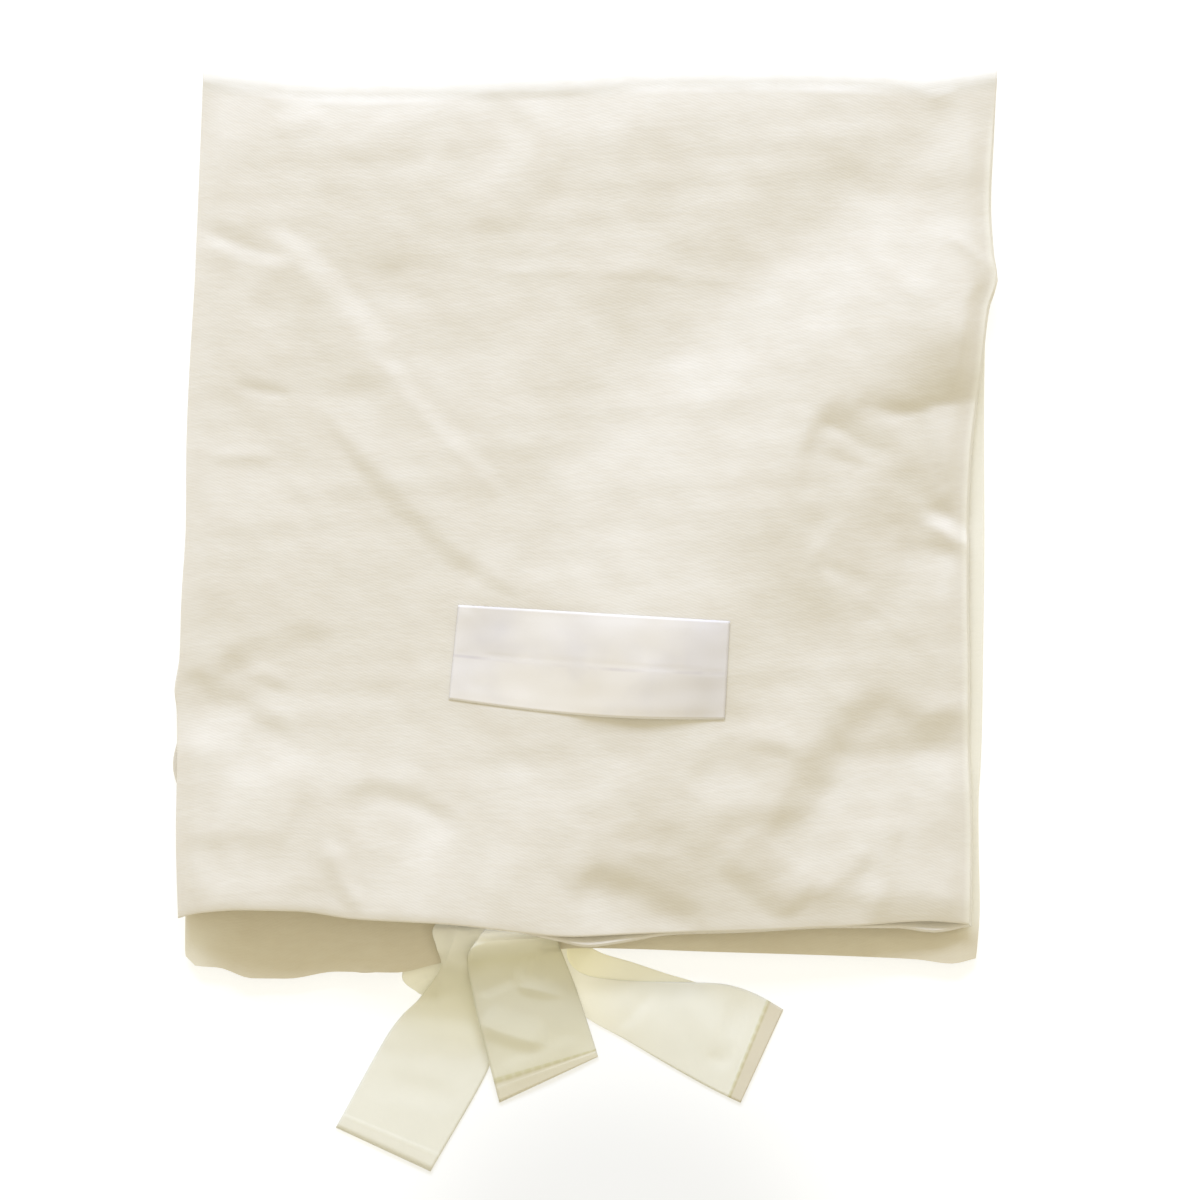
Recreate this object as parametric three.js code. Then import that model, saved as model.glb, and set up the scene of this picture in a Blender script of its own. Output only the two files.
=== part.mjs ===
// A cotton twill bag with ribbon ties, folded once across the middle and lying flat.
// X runs across the bag, Y from its mouth (-Y) to its fold (+Y) and Z up from the table.
import * as THREE from 'three';

// Driving sizes, in millimetres
const cloth = 1.1; // thickness of the bag's twill
const tape = 1.0; // thickness of the ribbon ties
const satin = 1.0; // thickness of the sewn-on label
const nest = 0.6; // gap between the two panels where they lie together
const core = 1.1; // space inside the fold of the back panel
const foldY = 155; // mean line of the fold
const mouthY = -96; // mean line of the mouth
const endY = -87; // mean line of the upper half's free end
const seamPeep = 0.6; // how far the back panel's right seam edge looks out from under the front one

// How the upper half stands off the layers under it
const puff = 2.6; // its height where it has no crease
const share = 0.25; // part of its creases that the back panel under it follows
const seamReach = 7; // width of the band that is drawn down to a side seam
const seamHeight = 0.45; // part of the height that is left at a side seam
const seamDrop = 0.5; // how far the side seams settle towards the lower half
const dropReach = 34; // and from how far inside them
const endReach = 2; // width of the band that is drawn down to the bottom seam
const endHeight = 0.95; // part of the height that is left there
const foldReach = 24; // how far from the fold the two upper layers still rise as one
const cornerReach = 24; // how far from its corners the fold reaches its full height
const tipWidth = 0.45; // width of a crease where it fades out, as a part of its full width
const riseFade = 0.6; // part of a rise's reach over which it slopes down

// The ties' turned ends
const ribbonHem = 4.3;
const hemRise = 0.4;
const hemStep = 0.004; // part of the tie's length over which its surface steps up to the turned end

// The label's clearance, the sag of its lower edge and the place where that edge lifts
const labelClear = 0.6;
const labelSag = 1.2;
const labelLift = 2.2;
const liftAt = 0.68;
const liftWidth = 0.17;

// Numbers of cells
const frontCells = { across: 40, upper: 44 };
const backCells = { across: 28, upper: 24 };
const lowerRows = 9;
const bendRows = 6;
const labelCells = { across: 18, along: 6 };
const tieCells = { across: 6, perStation: 3 };
const seamCrowd = 0.6; // how much closer the cells lie by the side seams, from 0 to 1
const mouthCrowd = 1.8; // power that draws the lower half's rows together at the mouth

// Levels of the layers away from any crease, each the underside of its layer
const mouthBack = cloth + nest;
const flapBack = mouthBack + cloth + core;
const backTop = flapBack + cloth;

// Rows of a table with named columns
function table(names, rows) {
  const keys = names.split(' ');
  return rows.map((row) => Object.fromEntries(keys.map((key, k) => [key, row[k]])));
}

// Side edges of the lower half, x at each y, from the mouth to the fold
const lowerSides = table('y left right', [
  [-99, -113.6, 111.4],
  [-94, -114.4, 112.3],
  [-80, -114.2, 113.2],
  [-66, -113.6, 112.9],
  [-52, -115.2, 112.8],
  [-41, -117.9, 113.4],
  [-30, -115.5, 113.8],
  [-10, -112.5, 114.1],
  [25, -111.0, 114.5],
  [60, -110.0, 114.4],
  [100, -109.5, 115.2],
  [155, -109.0, 117.8],
]);

// Side edges of the upper half, from its free end to the fold
const upperSides = table('y left right', [
  [-87, -116.1, 110.0],
  [-62, -116.7, 110.4],
  [-40, -116.4, 109.8],
  [-27, -116.6, 109.6],
  [-21, -117.2, 109.6],
  [-12, -115.8, 109.6],
  [5, -115.2, 109.3],
  [28, -113.9, 109.3],
  [47, -113.8, 110.0],
  [72, -112.9, 112.9],
  [90, -111.8, 115.0],
  [98.5, -111.3, 117.5],
  [106, -111.0, 116.4],
  [120, -110.4, 115.6],
  [155, -109.0, 117.8],
]);

// Outer line of the fold, y at each x
const foldLine = table('x y', [
  [-109, 157.4],
  [-96, 156.0],
  [-81, 154.4],
  [-64, 153.9],
  [-40, 154.4],
  [-20, 155.2],
  [4, 156.1],
  [16, 157.0],
  [60, 157.3],
  [84, 156.6],
  [96, 155.6],
  [106, 156.6],
  [118, 158.0],
]);

// Free end of the front panel's upper half, where the bottom seam is
const frontEnd = table('x y', [
  [-116.5, -85.3],
  [-110, -83.6],
  [-98, -82.6],
  [-82, -82.9],
  [-66, -85.1],
  [-41, -86.4],
  [-24, -88.3],
  [-4, -90.2],
  [16, -89.5],
  [45, -88.6],
  [74, -87.4],
  [98, -86.0],
  [110, -86.9],
]);

// Free end of the back panel's upper half, which looks out from under the front one in two places
const backEnd = table('x y', [
  [-116.5, -84.5],
  [-98, -82.0],
  [-66, -84.5],
  [-24, -88.0],
  [-8, -91.4],
  [1, -93.2],
  [12, -91.9],
  [24, -90.0],
  [45, -89.2],
  [74, -87.9],
  [89, -88.0],
  [100, -89.3],
  [110, -87.6],
]);

// Mouth of the back panel and of the front panel under it
const mouthLine = table('x back front', [
  [-114.4, -96.0, -95.4],
  [-111, -99.0, -98.2],
  [-105, -99.4, -98.8],
  [-95, -102.5, -101.8],
  [-85, -102.6, -101.9],
  [-71, -100.6, -100.2],
  [-63, -100.7, -101.1],
  [-54, -100.8, -100.2],
  [-40, -97.8, -97.4],
  [-24, -95.7, -95.2],
  [0, -93.8, -93.2],
  [35, -94.9, -94.2],
  [79, -96.3, -95.6],
  [95, -97.1, -96.4],
  [105, -98.3, -97.5],
  [112, -96.9, -96.2],
]);

// Creases of the upper half: a ridge (height over 0) or a trough (under 0) on a line from x0 y0 to x1 y1.
// The line's middle stands bow to its left, and left and right say how far its two flanks reach. Crisp is 1
// for a sharp crest, and the crease fades in over the length fade0 and out over fade1.
const creases = table('x0 y0 x1 y1 bow left right height crisp fade0 fade1', [
  // broad swell from the right edge down to the middle, and the trough above it
  [132, 106, -9, -30, 0, 44, 54, 5.4, 0, 38, 50],
  [104, 133, -22, 41, -4, 28, 26, -1.2, 0, 66, 30],
  [134, 112, 78, 115, 0, 20, 34, 2.2, 0, 8, 30],
  [24, 84, 76, 88, 0, 24, 20, 0.6, 0, 14, 14],
  // rise that carries the label
  [-24, -48, 80, -36, 0, 74, 40, 3.2, 0, 44, 40],
  [-40, 2, 14, 1, 0, 20, 24, 0.6, 0, 12, 14],
  [28, -45.5, 62, -43.5, 0, 11, 9, -1.0, 0, 9, 9],
  // lift of the free end, left of the ties
  [-66, -88, -2, -92, 0, 30, 8, 2.0, 0, 20, 20],
  [-14, -62, 88, -60, 0, 20, 28, 0.9, 0, 16, 16],
  // rise under the fold
  [-130, 137, 20, 136, 0, 21, 64, 2.0, 0, 30, 60],
  [-30, 139, 96, 141, 0, 17, 26, 1.2, 0, 50, 30],
  // diagonal ridge and step on the left
  [-93, 114, -52, 65, 0, 8.5, 18, 1.45, 0.1, 16, 14],
  [-63, 78, -24, 34, 0, 5, 13, 0.8, 0.3, 16, 9],
  [-76.5, 63.5, -14.5, 5.5, -3.5, 24, 6, 1.2, 0.15, 28, 16],
  // tuck by the left edge
  [-118, 117.5, -82, 104, -4, 6, 4.5, -0.9, 0.4, 5, 10],
  [-112, 105.5, -80, 97.5, 0, 5, 14, 0.4, 0, 6, 12],
  // soft bump under the fold
  [-5, 136, -33, 110, 0, 10, 12, 0.6, 0, 12, 14],
  [-14, 143, -42, 122, 0, 9, 14, -0.6, 0, 8, 10],
  [-70, 133, -42, 142, 0, 8, 12, 0.7, 0, 12, 12],
  [-78, 113, -44, 106, 0, 8, 11, 0.5, 0, 12, 12],
  // deep valley at the right edge and the folds below it
  [130, 64.8, 74, 57.5, 0, 36, 21, -4.9, 0.7, 8, 32],
  [75, 61.5, 97, 60.5, 0, 7, 6, -0.8, 0.5, 6, 9],
  [62, 58, 92, 46, 0, 11, 24, -1.4, 0.2, 8, 16],
  [84, 49.5, 114, 46, 0, 8, 13, 0.5, 0, 10, 16],
  [97, 33, 122, 20.5, 0, 9, 4, -1.5, 0.4, 7, 4],
  [95, 28.5, 120, 15, 0.5, 3.4, 8, 1.15, 0.4, 7, 4],
  [88, 20.5, 108, 19, 0, 6, 20, -0.8, 0.3, 5, 6],
  // notch in the left edge and the swell below it
  [-128, -24, -90, -21.5, -1, 15, 13, -1.7, 0.3, 4, 12],
  [-106, -19.5, -66, -3, 1.5, 9, 20, -1.0, 0.1, 8, 14],
  [-118, -17, -80, -38, 0, 7, 18, -1.1, 0.1, 6, 10],
  [-130, -104, -24, -84, -1, 54, 40, 3.3, 0, 10, 30],
  [-130, -66, -56, -60, 0, 42, 30, 1.8, 0, 8, 26],
  [-92, -46, -42, -47, 0, 10, 26, 0.8, 0, 10, 12],
  [-112, -86, -80, -85, 0, 13, 5, 0.7, 0, 10, 10],
  [-70, -48, -35, -60, 0, 7, 14, -0.9, 0.1, 10, 8],
  // step and hollow by the right edge, low down
  [132, -33.5, 87, -38, 0, 14, 12, -3.6, 0.4, 8, 17],
  [93, -16, 57, -76, 0, 28, 16, -3.8, 0.1, 27, 18],
  [72, -4, 42, -62, 0, 18, 26, 1.6, 0, 16, 20],
  // folds that run into the free end
  [-120, -67, -74, -68, 0, 7, 10, -0.55, 0, 8, 16],
  [-74, -62, -64, -84, 0, 5, 5, 1.0, 0.3, 8, 6],
  [-4, -75, 38, -91, 0, 10, 16, -1.3, 0.1, 8, 8],
  [38, -61, 63, -83, 0, 12, 8, 1.0, 0.1, 8, 6],
  [64, -79, 83, -64, 0, 7, 4, 0.5, 0.2, 5, 6],
  [76, -80.5, 116, -81, 3, 13, 9, 1.3, 0.2, 8, 5],
]);

// Rises of layers that lie over a tie: over the roots between the panels, and over the two on top
const mouthRises = table('x y across along height', [
  [-45, -96, 28, 46, 1.45],
  [-5, -92, 30, 46, 1.45],
]);
const flapRises = table('x y across along height', [
  [-33, -88, 26, 50, 2.6],
  [-15, -88, 30, 50, 3.0],
  [-5, -92, 32, 50, 1.5],
  [-45, -96, 30, 50, 1.5],
]);

// Corners of the label: low left, low right, high right, high left
const labelCorners = table('x y', [
  [-38.7, -22.6],
  [39.9, -28.3],
  [41.4, -0.3],
  [-36.0, 4.3],
]);

// The ties, from the hidden root to the hemmed end: the two side edges of the underside, its height
// on each side, and the crown or pleat between them
const tieColumns = 'lx ly lz rx ry rz crown';
const ties = {
  tie_left: table(tieColumns, [
    [-36.1, -74.0, 4.6, -29.3, -73.5, 4.5, 0.0],
    [-36.7, -85.5, 4.8, -30.5, -85.5, 4.6, 0.3],
    [-38.0, -93.0, 5.0, -33.3, -93.7, 4.8, 0.8],
    [-41.3, -100.0, 4.9, -31.5, -101.5, 4.0, 0.9],
    [-47.0, -108.0, 2.4, -29.5, -111.4, 1.0, 0.5],
    [-52.7, -113.7, 0.7, -27.5, -121.4, 0.0, 0.3],
    [-58.4, -122.0, 0.0, -27.9, -129.4, 0.0, 0.0],
    [-71.3, -145.4, 0.0, -44.1, -158.0, 0.0, 0.0],
  ]),
  tie_middle: table(tieColumns, [
    [-24.5, -75.3, 4.4, -9.5, -75.1, 4.5, 0.0],
    [-26.0, -86.5, 4.9, -8.1, -86.5, 4.8, 0.0],
    [-32.7, -94.3, 6.7, -7.9, -91.0, 5.0, 0.5],
    [-33.3, -98.6, 7.0, -6.1, -95.7, 5.4, 0.8],
    [-32.1, -105.7, 5.0, -3.0, -103.7, 4.0, 0.9],
    [-31.0, -112.0, 3.6, -0.4, -111.4, 2.6, 0.4],
    [-28.7, -121.4, 2.0, 2.1, -119.1, 0.9, 0.6],
    [-24.4, -138.3, 0.0, 3.9, -125.1, 0.0, 0.0],
  ]),
  tie_right: table(tieColumns, [
    [-11.3, -78.6, 1.5, 1.0, -78.6, 1.5, 0.0],
    [-10.4, -91.0, 1.5, 1.6, -91.4, 1.5, 0.0],
    [-8.1, -103.0, 1.2, 5.9, -95.8, 1.9, 0.7],
    [-1.3, -112.6, 0.0, 15.9, -98.6, 1.1, 1.2],
    [13.0, -120.9, 0.0, 27.3, -102.3, 0.0, 0.9],
    [27.3, -129.1, 0.0, 43.0, -105.1, 0.0, 0.3],
    [43.9, -138.3, 0.0, 57.0, -111.4, 0.0, 0.0],
  ]),
  tie_tucked: table(tieColumns, [
    [-50.4, -80.0, 1.5, -39.5, -80.0, 1.5, 0.0],
    [-51.0, -96.0, 1.5, -39.0, -96.0, 1.5, 0.0],
    [-52.1, -102.8, 1.7, -39.6, -103.0, 1.2, 0.0],
    [-47.5, -107.0, 0.0, -41.3, -109.7, 0.0, 0.0],
  ]),
};

const { lerp } = THREE.MathUtils;

function smooth(from, to, value) {
  return THREE.MathUtils.smoothstep(value, from, to);
}

// A smooth function through a table's points, for one column against another
function through(rows, input, output) {
  const sorted = [...rows].sort((a, b) => a[input] - b[input]);
  const x = sorted.map((row) => row[input]);
  const y = sorted.map((row) => row[output]);
  const rise = x.slice(1).map((value, k) => (y[k + 1] - y[k]) / (value - x[k]));
  const slope = x.map((_, k) => {
    const before = rise[Math.max(k - 1, 0)];
    const after = rise[Math.min(k, rise.length - 1)];
    return before * after > 0 ? (2 * before * after) / (before + after) : 0;
  });
  return (value) => {
    const at = Math.min(Math.max(value, x[0]), x[x.length - 1]);
    let k = 0;
    while (k < x.length - 2 && at > x[k + 1]) k += 1;
    const step = x[k + 1] - x[k];
    const t = (at - x[k]) / step;
    const start = (1 + 2 * t) * (1 - t) ** 2 * y[k] + t * (1 - t) ** 2 * step * slope[k];
    return start + t * t * (3 - 2 * t) * y[k + 1] + t * t * (t - 1) * step * slope[k + 1];
  };
}

// Height of one crease at a place
function creaseHeight(crease, x, y) {
  const { x0, y0, x1, y1, bow, left, right, height, crisp, fade0, fade1 } = crease;
  const length = Math.hypot(x1 - x0, y1 - y0);
  const along = ((x - x0) * (x1 - x0) + (y - y0) * (y1 - y0)) / length ** 2;
  if (along <= 0 || along >= 1) return 0;
  const middle = 4 * bow * along * (1 - along);
  const across = ((x1 - x0) * (y - y0) - (y1 - y0) * (x - x0)) / length - middle;
  const ends = smooth(0, fade0 / length, along) * smooth(0, fade1 / length, 1 - along);
  const reach = (across > 0 ? left : right) * lerp(tipWidth, 1, ends);
  const flank = Math.abs(across) / reach;
  if (flank >= 1) return 0;
  const soft = (1 - flank ** 2) ** 2;
  const sharp = (1 - flank) ** 3;
  return height * lerp(soft, sharp, crisp) * ends;
}

// Height of the flat-topped rises at a place, the highest one where they meet
function riseHeight(rises, x, y) {
  const heights = rises.map((rise) => {
    const away = Math.hypot((x - rise.x) / rise.across, (y - rise.y) / rise.along);
    return rise.height * smooth(0, riseFade, 1 - away);
  });
  return Math.max(0, ...heights);
}

const upperLeft = through(upperSides, 'y', 'left');
const upperRight = through(upperSides, 'y', 'right');
const lowerLeft = through(lowerSides, 'y', 'left');
const lowerRight = through(lowerSides, 'y', 'right');
const foldTop = through(foldLine, 'x', 'y');
const frontEndAt = through(frontEnd, 'x', 'y');
const backEndAt = through(backEnd, 'x', 'y');
const backMouthAt = through(mouthLine, 'x', 'back');
const frontMouthAt = through(mouthLine, 'x', 'front');

// 0 at two side lines, rising to 1 over a band inside them
function between(value, from, to, band) {
  return smooth(0, band, value - from) * smooth(0, band, to - value);
}

// How far the upper half stands off its lowest level, from its creases and its puff
function relief(x, y) {
  const folds = creases.reduce((sum, crease) => sum + creaseHeight(crease, x, y), puff);
  const lifted = Math.log(1 + Math.exp(2 * folds)) / 2; // never under 0, with a soft turn
  const seams = between(x, upperLeft(y), upperRight(y), seamReach);
  const end = smooth(0, endReach, y - frontEndAt(x));
  const corners = between(x, upperLeft(foldY), upperRight(foldY), cornerReach);
  const away = smooth(0, foldReach, foldTop(x) - y);
  const drawn = (seamHeight + (1 - seamHeight) * seams) * (endHeight + (1 - endHeight) * end);
  return lifted * drawn * (away + (1 - away) * corners);
}

// How far the upper half's side seams settle towards the lower half
function seamSettle(x, y) {
  const seams = between(x, upperLeft(y), upperRight(y), dropReach);
  return seamDrop * (1 - seams) * smooth(0, foldReach, foldTop(x) - y);
}

// Undersides of the two upper layers and of the back panel's mouth half
function frontHeight(x, y) {
  return backTop + nest + relief(x, y) + riseHeight(flapRises, x, y) - seamSettle(x, y);
}

function backHeight(x, y) {
  const together = 1 - smooth(0, foldReach, foldTop(x) - y);
  const follow = share + (1 - share) * together;
  return flapBack + follow * relief(x, y) + riseHeight(flapRises, x, y) - seamSettle(x, y);
}

function mouthHeight(x, y) {
  return mouthBack + riseHeight(mouthRises, x, y);
}

// One closed body between two surfaces given as point functions of a cell's corner
function closedSheet(across, along, outer, inner) {
  const positions = [];
  for (const surface of [outer, inner]) {
    for (let j = 0; j <= along; j += 1) {
      for (let i = 0; i <= across; i += 1) positions.push(...surface(i, j).toArray());
    }
  }
  const indices = [];
  const corner = (side, i, j) => side * (across + 1) * (along + 1) + j * (across + 1) + i;
  const quad = (a, b, c, d) => indices.push(a, b, c, a, c, d);
  for (let j = 0; j < along; j += 1) {
    for (let i = 0; i < across; i += 1) {
      quad(corner(0, i, j), corner(0, i, j + 1), corner(0, i + 1, j + 1), corner(0, i + 1, j));
      quad(corner(1, i, j), corner(1, i + 1, j), corner(1, i + 1, j + 1), corner(1, i, j + 1));
    }
  }
  for (let j = 0; j < along; j += 1) {
    quad(corner(0, 0, j), corner(1, 0, j), corner(1, 0, j + 1), corner(0, 0, j + 1));
    quad(corner(0, across, j), corner(0, across, j + 1), corner(1, across, j + 1), corner(1, across, j));
  }
  for (let i = 0; i < across; i += 1) {
    quad(corner(0, i, 0), corner(0, i + 1, 0), corner(1, i + 1, 0), corner(1, i, 0));
    quad(corner(0, i, along), corner(1, i, along), corner(1, i + 1, along), corner(0, i + 1, along));
  }
  const geometry = new THREE.BufferGeometry();
  geometry.setAttribute('position', new THREE.Float32BufferAttribute(positions, 3));
  geometry.setIndex(indices);
  geometry.computeVertexNormals();
  return geometry;
}

// Place across a panel from 0 to 1, with its cells closer together near the two side seams
function spread(i, count) {
  const even = i / count;
  const bunched = (1 - Math.cos(Math.PI * even)) / 2;
  return lerp(even, bunched, seamCrowd);
}

// A panel's back-and-forth section: mouth half, bend round the fold, upper half
function panel(shape) {
  const { cells, mouth, end, low, high, inset, peep } = shape;
  const place = (i, j, deep) => {
    const u = spread(i, cells.across);
    const lower = Math.min(j / lowerRows, 1) ** mouthCrowd;
    const upper = Math.max((j - lowerRows - bendRows) / cells.upper, 0);
    const level = upper > 0 ? lerp(foldY, endY, upper) : lerp(mouthY, foldY, lower);
    const left = upper > 0 ? upperLeft(level) : lowerLeft(level);
    const seam = peep * smooth(0, foldReach, foldY - level);
    const right = upper > 0 ? upperRight(level) + seam : lowerRight(level);
    const x = lerp(left, right, u);
    const radius = (frontHeight(x, foldTop(x) - core) + cloth) / 2;
    const centre = foldTop(x) - radius;
    if (j <= lowerRows) {
      const y = lerp(mouth(x), centre, lower);
      return new THREE.Vector3(x, y, low(x, y) + deep);
    }
    if (upper > 0) {
      const y = lerp(centre, end(x), upper);
      return new THREE.Vector3(x, y, high(x, y) + cloth - deep);
    }
    const turn = Math.PI * ((j - lowerRows) / bendRows - 0.5);
    const reach = radius - inset - deep;
    return new THREE.Vector3(x, centre + reach * Math.cos(turn), radius + reach * Math.sin(turn));
  };
  const rows = lowerRows + bendRows + cells.upper;
  return closedSheet(cells.across, rows, (i, j) => place(i, j, 0), (i, j) => place(i, j, cloth));
}

// The front panel goes round the outside of the fold, and its mouth half lies flat on the table
function frontPanel() {
  return panel({
    cells: frontCells,
    mouth: frontMouthAt,
    end: frontEndAt,
    low: () => 0,
    high: frontHeight,
    inset: 0,
    peep: 0,
  });
}

// The back panel lies inside the front one
function backPanel() {
  return panel({
    cells: backCells,
    mouth: backMouthAt,
    end: backEndAt,
    low: mouthHeight,
    high: backHeight,
    inset: cloth + nest,
    peep: seamPeep,
  });
}

// The label lies on the upper half, and its lower edge stands off between its corner stitches
function labelSheet() {
  const [lowLeft, lowRight, highRight, highLeft] = labelCorners.map(({ x, y }) => new THREE.Vector3(x, y, 0));
  const place = (i, j, thick) => {
    const u = i / labelCells.across;
    const v = j / labelCells.along;
    const spot = lowLeft.clone().lerp(lowRight, u).lerp(highLeft.clone().lerp(highRight, u), v);
    const bulge = Math.exp(-(((u - liftAt) / liftWidth) ** 2)) * (1 - v) ** 2;
    spot.y -= labelSag * Math.sin(Math.PI * u) * (1 - v);
    spot.z = frontHeight(spot.x, spot.y) + cloth + labelClear + labelLift * bulge + thick;
    return spot;
  };
  const { across, along } = labelCells;
  return closedSheet(across, along, (i, j) => place(i, j, 0), (i, j) => place(i, j, satin));
}

// A tie is a strip between two smooth side edges, a little thicker over its turned end
function tie(rows, hemmed) {
  const leftEdge = new THREE.CatmullRomCurve3(rows.map((row) => new THREE.Vector3(row.lx, row.ly, row.lz)));
  const rightEdge = new THREE.CatmullRomCurve3(rows.map((row) => new THREE.Vector3(row.rx, row.ry, row.rz)));
  const spans = rows.length - 1;
  const steps = spans * tieCells.perStation;
  const stations = Array.from({ length: steps + 1 }, (_, k) => k / steps);
  const last = Math.hypot(rows[spans].lx - rows[spans - 1].lx, rows[spans].ly - rows[spans - 1].ly);
  const hemStart = 1 - ribbonHem / last / spans;
  if (hemmed) stations.splice(steps, 0, hemStart - hemStep / 2, hemStart + hemStep / 2);
  const place = (i, j, thick) => {
    const s = i / tieCells.across;
    const t = stations[j];
    const k = Math.min(Math.floor(t * spans), spans - 1);
    const crown = lerp(rows[k].crown, rows[k + 1].crown, t * spans - k);
    const spot = leftEdge.getPoint(t).lerp(rightEdge.getPoint(t), s);
    const turned = hemmed && thick > 0 && t > hemStart ? hemRise : 0;
    spot.z = Math.max(spot.z, 0) + crown * Math.sin(Math.PI * s) + thick + turned;
    return spot;
  };
  const along = stations.length - 1;
  return closedSheet(tieCells.across, along, (i, j) => place(i, j, tape), (i, j) => place(i, j, 0));
}

const twill = { color: 0xebe4d2, roughness: 0.95, metalness: 0 };
const ribbonCloth = { color: 0xe6e2c8, roughness: 0.75, metalness: 0 };
const labelCloth = { color: 0xebe5e1, roughness: 0.55, metalness: 0 };

function piece(name, geometry, finish) {
  const mesh = new THREE.Mesh(geometry, new THREE.MeshStandardMaterial(finish));
  mesh.name = name;
  return mesh;
}

const bag = new THREE.Group();
bag.add(piece('front_panel', frontPanel(), twill));
bag.add(piece('back_panel', backPanel(), twill));
bag.add(piece('label', labelSheet(), labelCloth));
for (const [name, rows] of Object.entries(ties)) {
  bag.add(piece(name, tie(rows, name !== 'tie_tucked'), ribbonCloth));
}

export default bag;
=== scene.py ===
import math

import bpy
import numpy as np
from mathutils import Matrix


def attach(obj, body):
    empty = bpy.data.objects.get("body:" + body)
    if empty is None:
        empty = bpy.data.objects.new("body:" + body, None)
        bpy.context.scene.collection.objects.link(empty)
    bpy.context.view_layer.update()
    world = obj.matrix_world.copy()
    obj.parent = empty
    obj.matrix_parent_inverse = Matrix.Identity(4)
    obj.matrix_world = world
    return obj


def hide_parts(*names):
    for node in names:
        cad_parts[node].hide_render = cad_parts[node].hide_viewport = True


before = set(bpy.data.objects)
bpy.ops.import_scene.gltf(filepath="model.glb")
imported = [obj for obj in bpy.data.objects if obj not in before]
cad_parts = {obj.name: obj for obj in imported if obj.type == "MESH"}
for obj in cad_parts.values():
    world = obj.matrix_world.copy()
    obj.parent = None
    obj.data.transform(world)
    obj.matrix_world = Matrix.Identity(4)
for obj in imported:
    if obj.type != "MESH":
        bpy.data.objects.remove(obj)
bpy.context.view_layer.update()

# A cotton twill bag with ribbon ties, folded once across the middle and lying flat.
# X runs across the bag, Y from its mouth to its fold and Z up from the table. Tables and sizes are in
# millimetres, and MM turns them into metres where a mesh is made.
MM = 0.001

# Driving sizes of the solids
SOLID_CLOTH = 1.1  # thickness of their twill
NEST = 0.6  # gap between the two panels
CORE = 1.1  # space inside the fold of the back panel
FOLD_Y = 155.0  # mean line of the fold
MOUTH_Y = -96.0  # mean line of the mouth
END_Y = -87.0  # mean line of the upper half's free end
SEAM_PEEP = 0.6  # how far the back panel's right seam looks out
PANEL_WIDTH = 226.0
HALF_LENGTH = 240.0  # of a panel's cloth, from its bend to its free end

# How the upper half stands off the layers under it
PUFF = 2.6  # its height where it has no crease
SHARE = 0.25  # part of its creases that the back panel under it follows
SEAM_REACH = 7.0  # width of the band drawn down to a side seam
SEAM_HEIGHT = 0.45  # part of the height left at the seam
SEAM_DROP = 2.4  # how far the side seams settle towards the lower half
DROP_REACH = 34.0  # and from how far inside them
END_REACH = 2.0  # the same two at the free end
END_HEIGHT = 0.95
FOLD_REACH = 24.0  # how far from the fold its two layers rise as one
CORNER_REACH = 24.0  # how far from its corners the fold is fully high
TIP_WIDTH = 0.45  # part of a crease's width that is left where it fades out
RISE_FADE = 0.6  # part of a rise's reach over which it slopes down
BEND_STRETCH = 1.3  # how far out the bend reaches, in its own radii

# How creases stray from their lines, and the random unevenness between them
RIPPLES = 9  # number of waves that are added up
STRETCH = 1.5  # how much longer they are across the bag
STRAY = 0.6
STRAY_WAVE = 42.0
STRAY_FINE = 0.25
STRAY_FINE_WAVE = 13.0

# The cloth's own thickness and its turned seams
CLOTH = 0.8
SEAM_GAP = 0.06  # gap between the two panels at a seam
SEAM_CLOSE = 5.0  # how far inside it they part
ROLL_REACH = 0.7  # width of a turned edge
ROLL_DROP = 0.3  # how far it rolls over
RIM_CELLS = 4  # number of cells across it
RIM_SHARE = 0.4  # part of the thickness left at a rim
FLAT_MIDDLE = 120.0  # place of a panel's middle line on its flat cloth

# The mouth's hem, of doubled cloth, with painted shade: tinted darker and yellower for the shade under the
# upper half's free end
MOUTH_HEM = 24.0
HEM_BLEND = 6.0
HEM_SHADE_TINT = (0.97, 0.945, 0.85, 1)

# Painted light where the lit table would shine through: a lighter tint and a faint glow on the strip along
# the right edge, its rim, and the mouth's left corner
EDGE_GLOW = 6.0  # width of the strip
STRIP_START = 3.0  # height over the mouth where it begins
STRIP_FULL = 12.0  # and where it has its full light
RIM_WIDTH = 1.4
RIM_GLOW = 0.5
CORNER_GLOW = 0.6
CORNER_WIDTH = 16.0
CORNER_FULL = 4.0
CORNER_TOP = 14.0
FULL_WIDTH = 0.6  # part of a strip's width that has the full light
EDGE_TINT = (0.95, 0.92, 0.80, 1)
EDGE_LIGHT = (1.0, 0.93, 0.70, 1)
EDGE_SHINE = 0.02

# Painted shade on the crest of the fold: the cloth is tinted less bright there, where it faces the lamp
CREST_WIDTH = 4.6
CREST_FADE = 7.6
CREST_SHADE_TINT = (0.925, 0.925, 0.91, 1)

# The ribbons, with their turned ends and the stitch lines in them
TAPE = 0.34  # thickness
RIBBON_HEM = 4.3  # length of a turned end
HEM_RISE = 0.12  # how much higher its doubled cloth stands
HEM_STEP = 0.35  # half the length of the step up to it
STITCH_LINE = 0.55  # half the width of the stitch line
STITCH_PITCH = 2.9  # length of a stitch and the gap after it
PLAIN_END = 20.0  # how far a plain end lies past the hem's pattern
RIBBON_CELLS = (36, 132)

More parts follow.
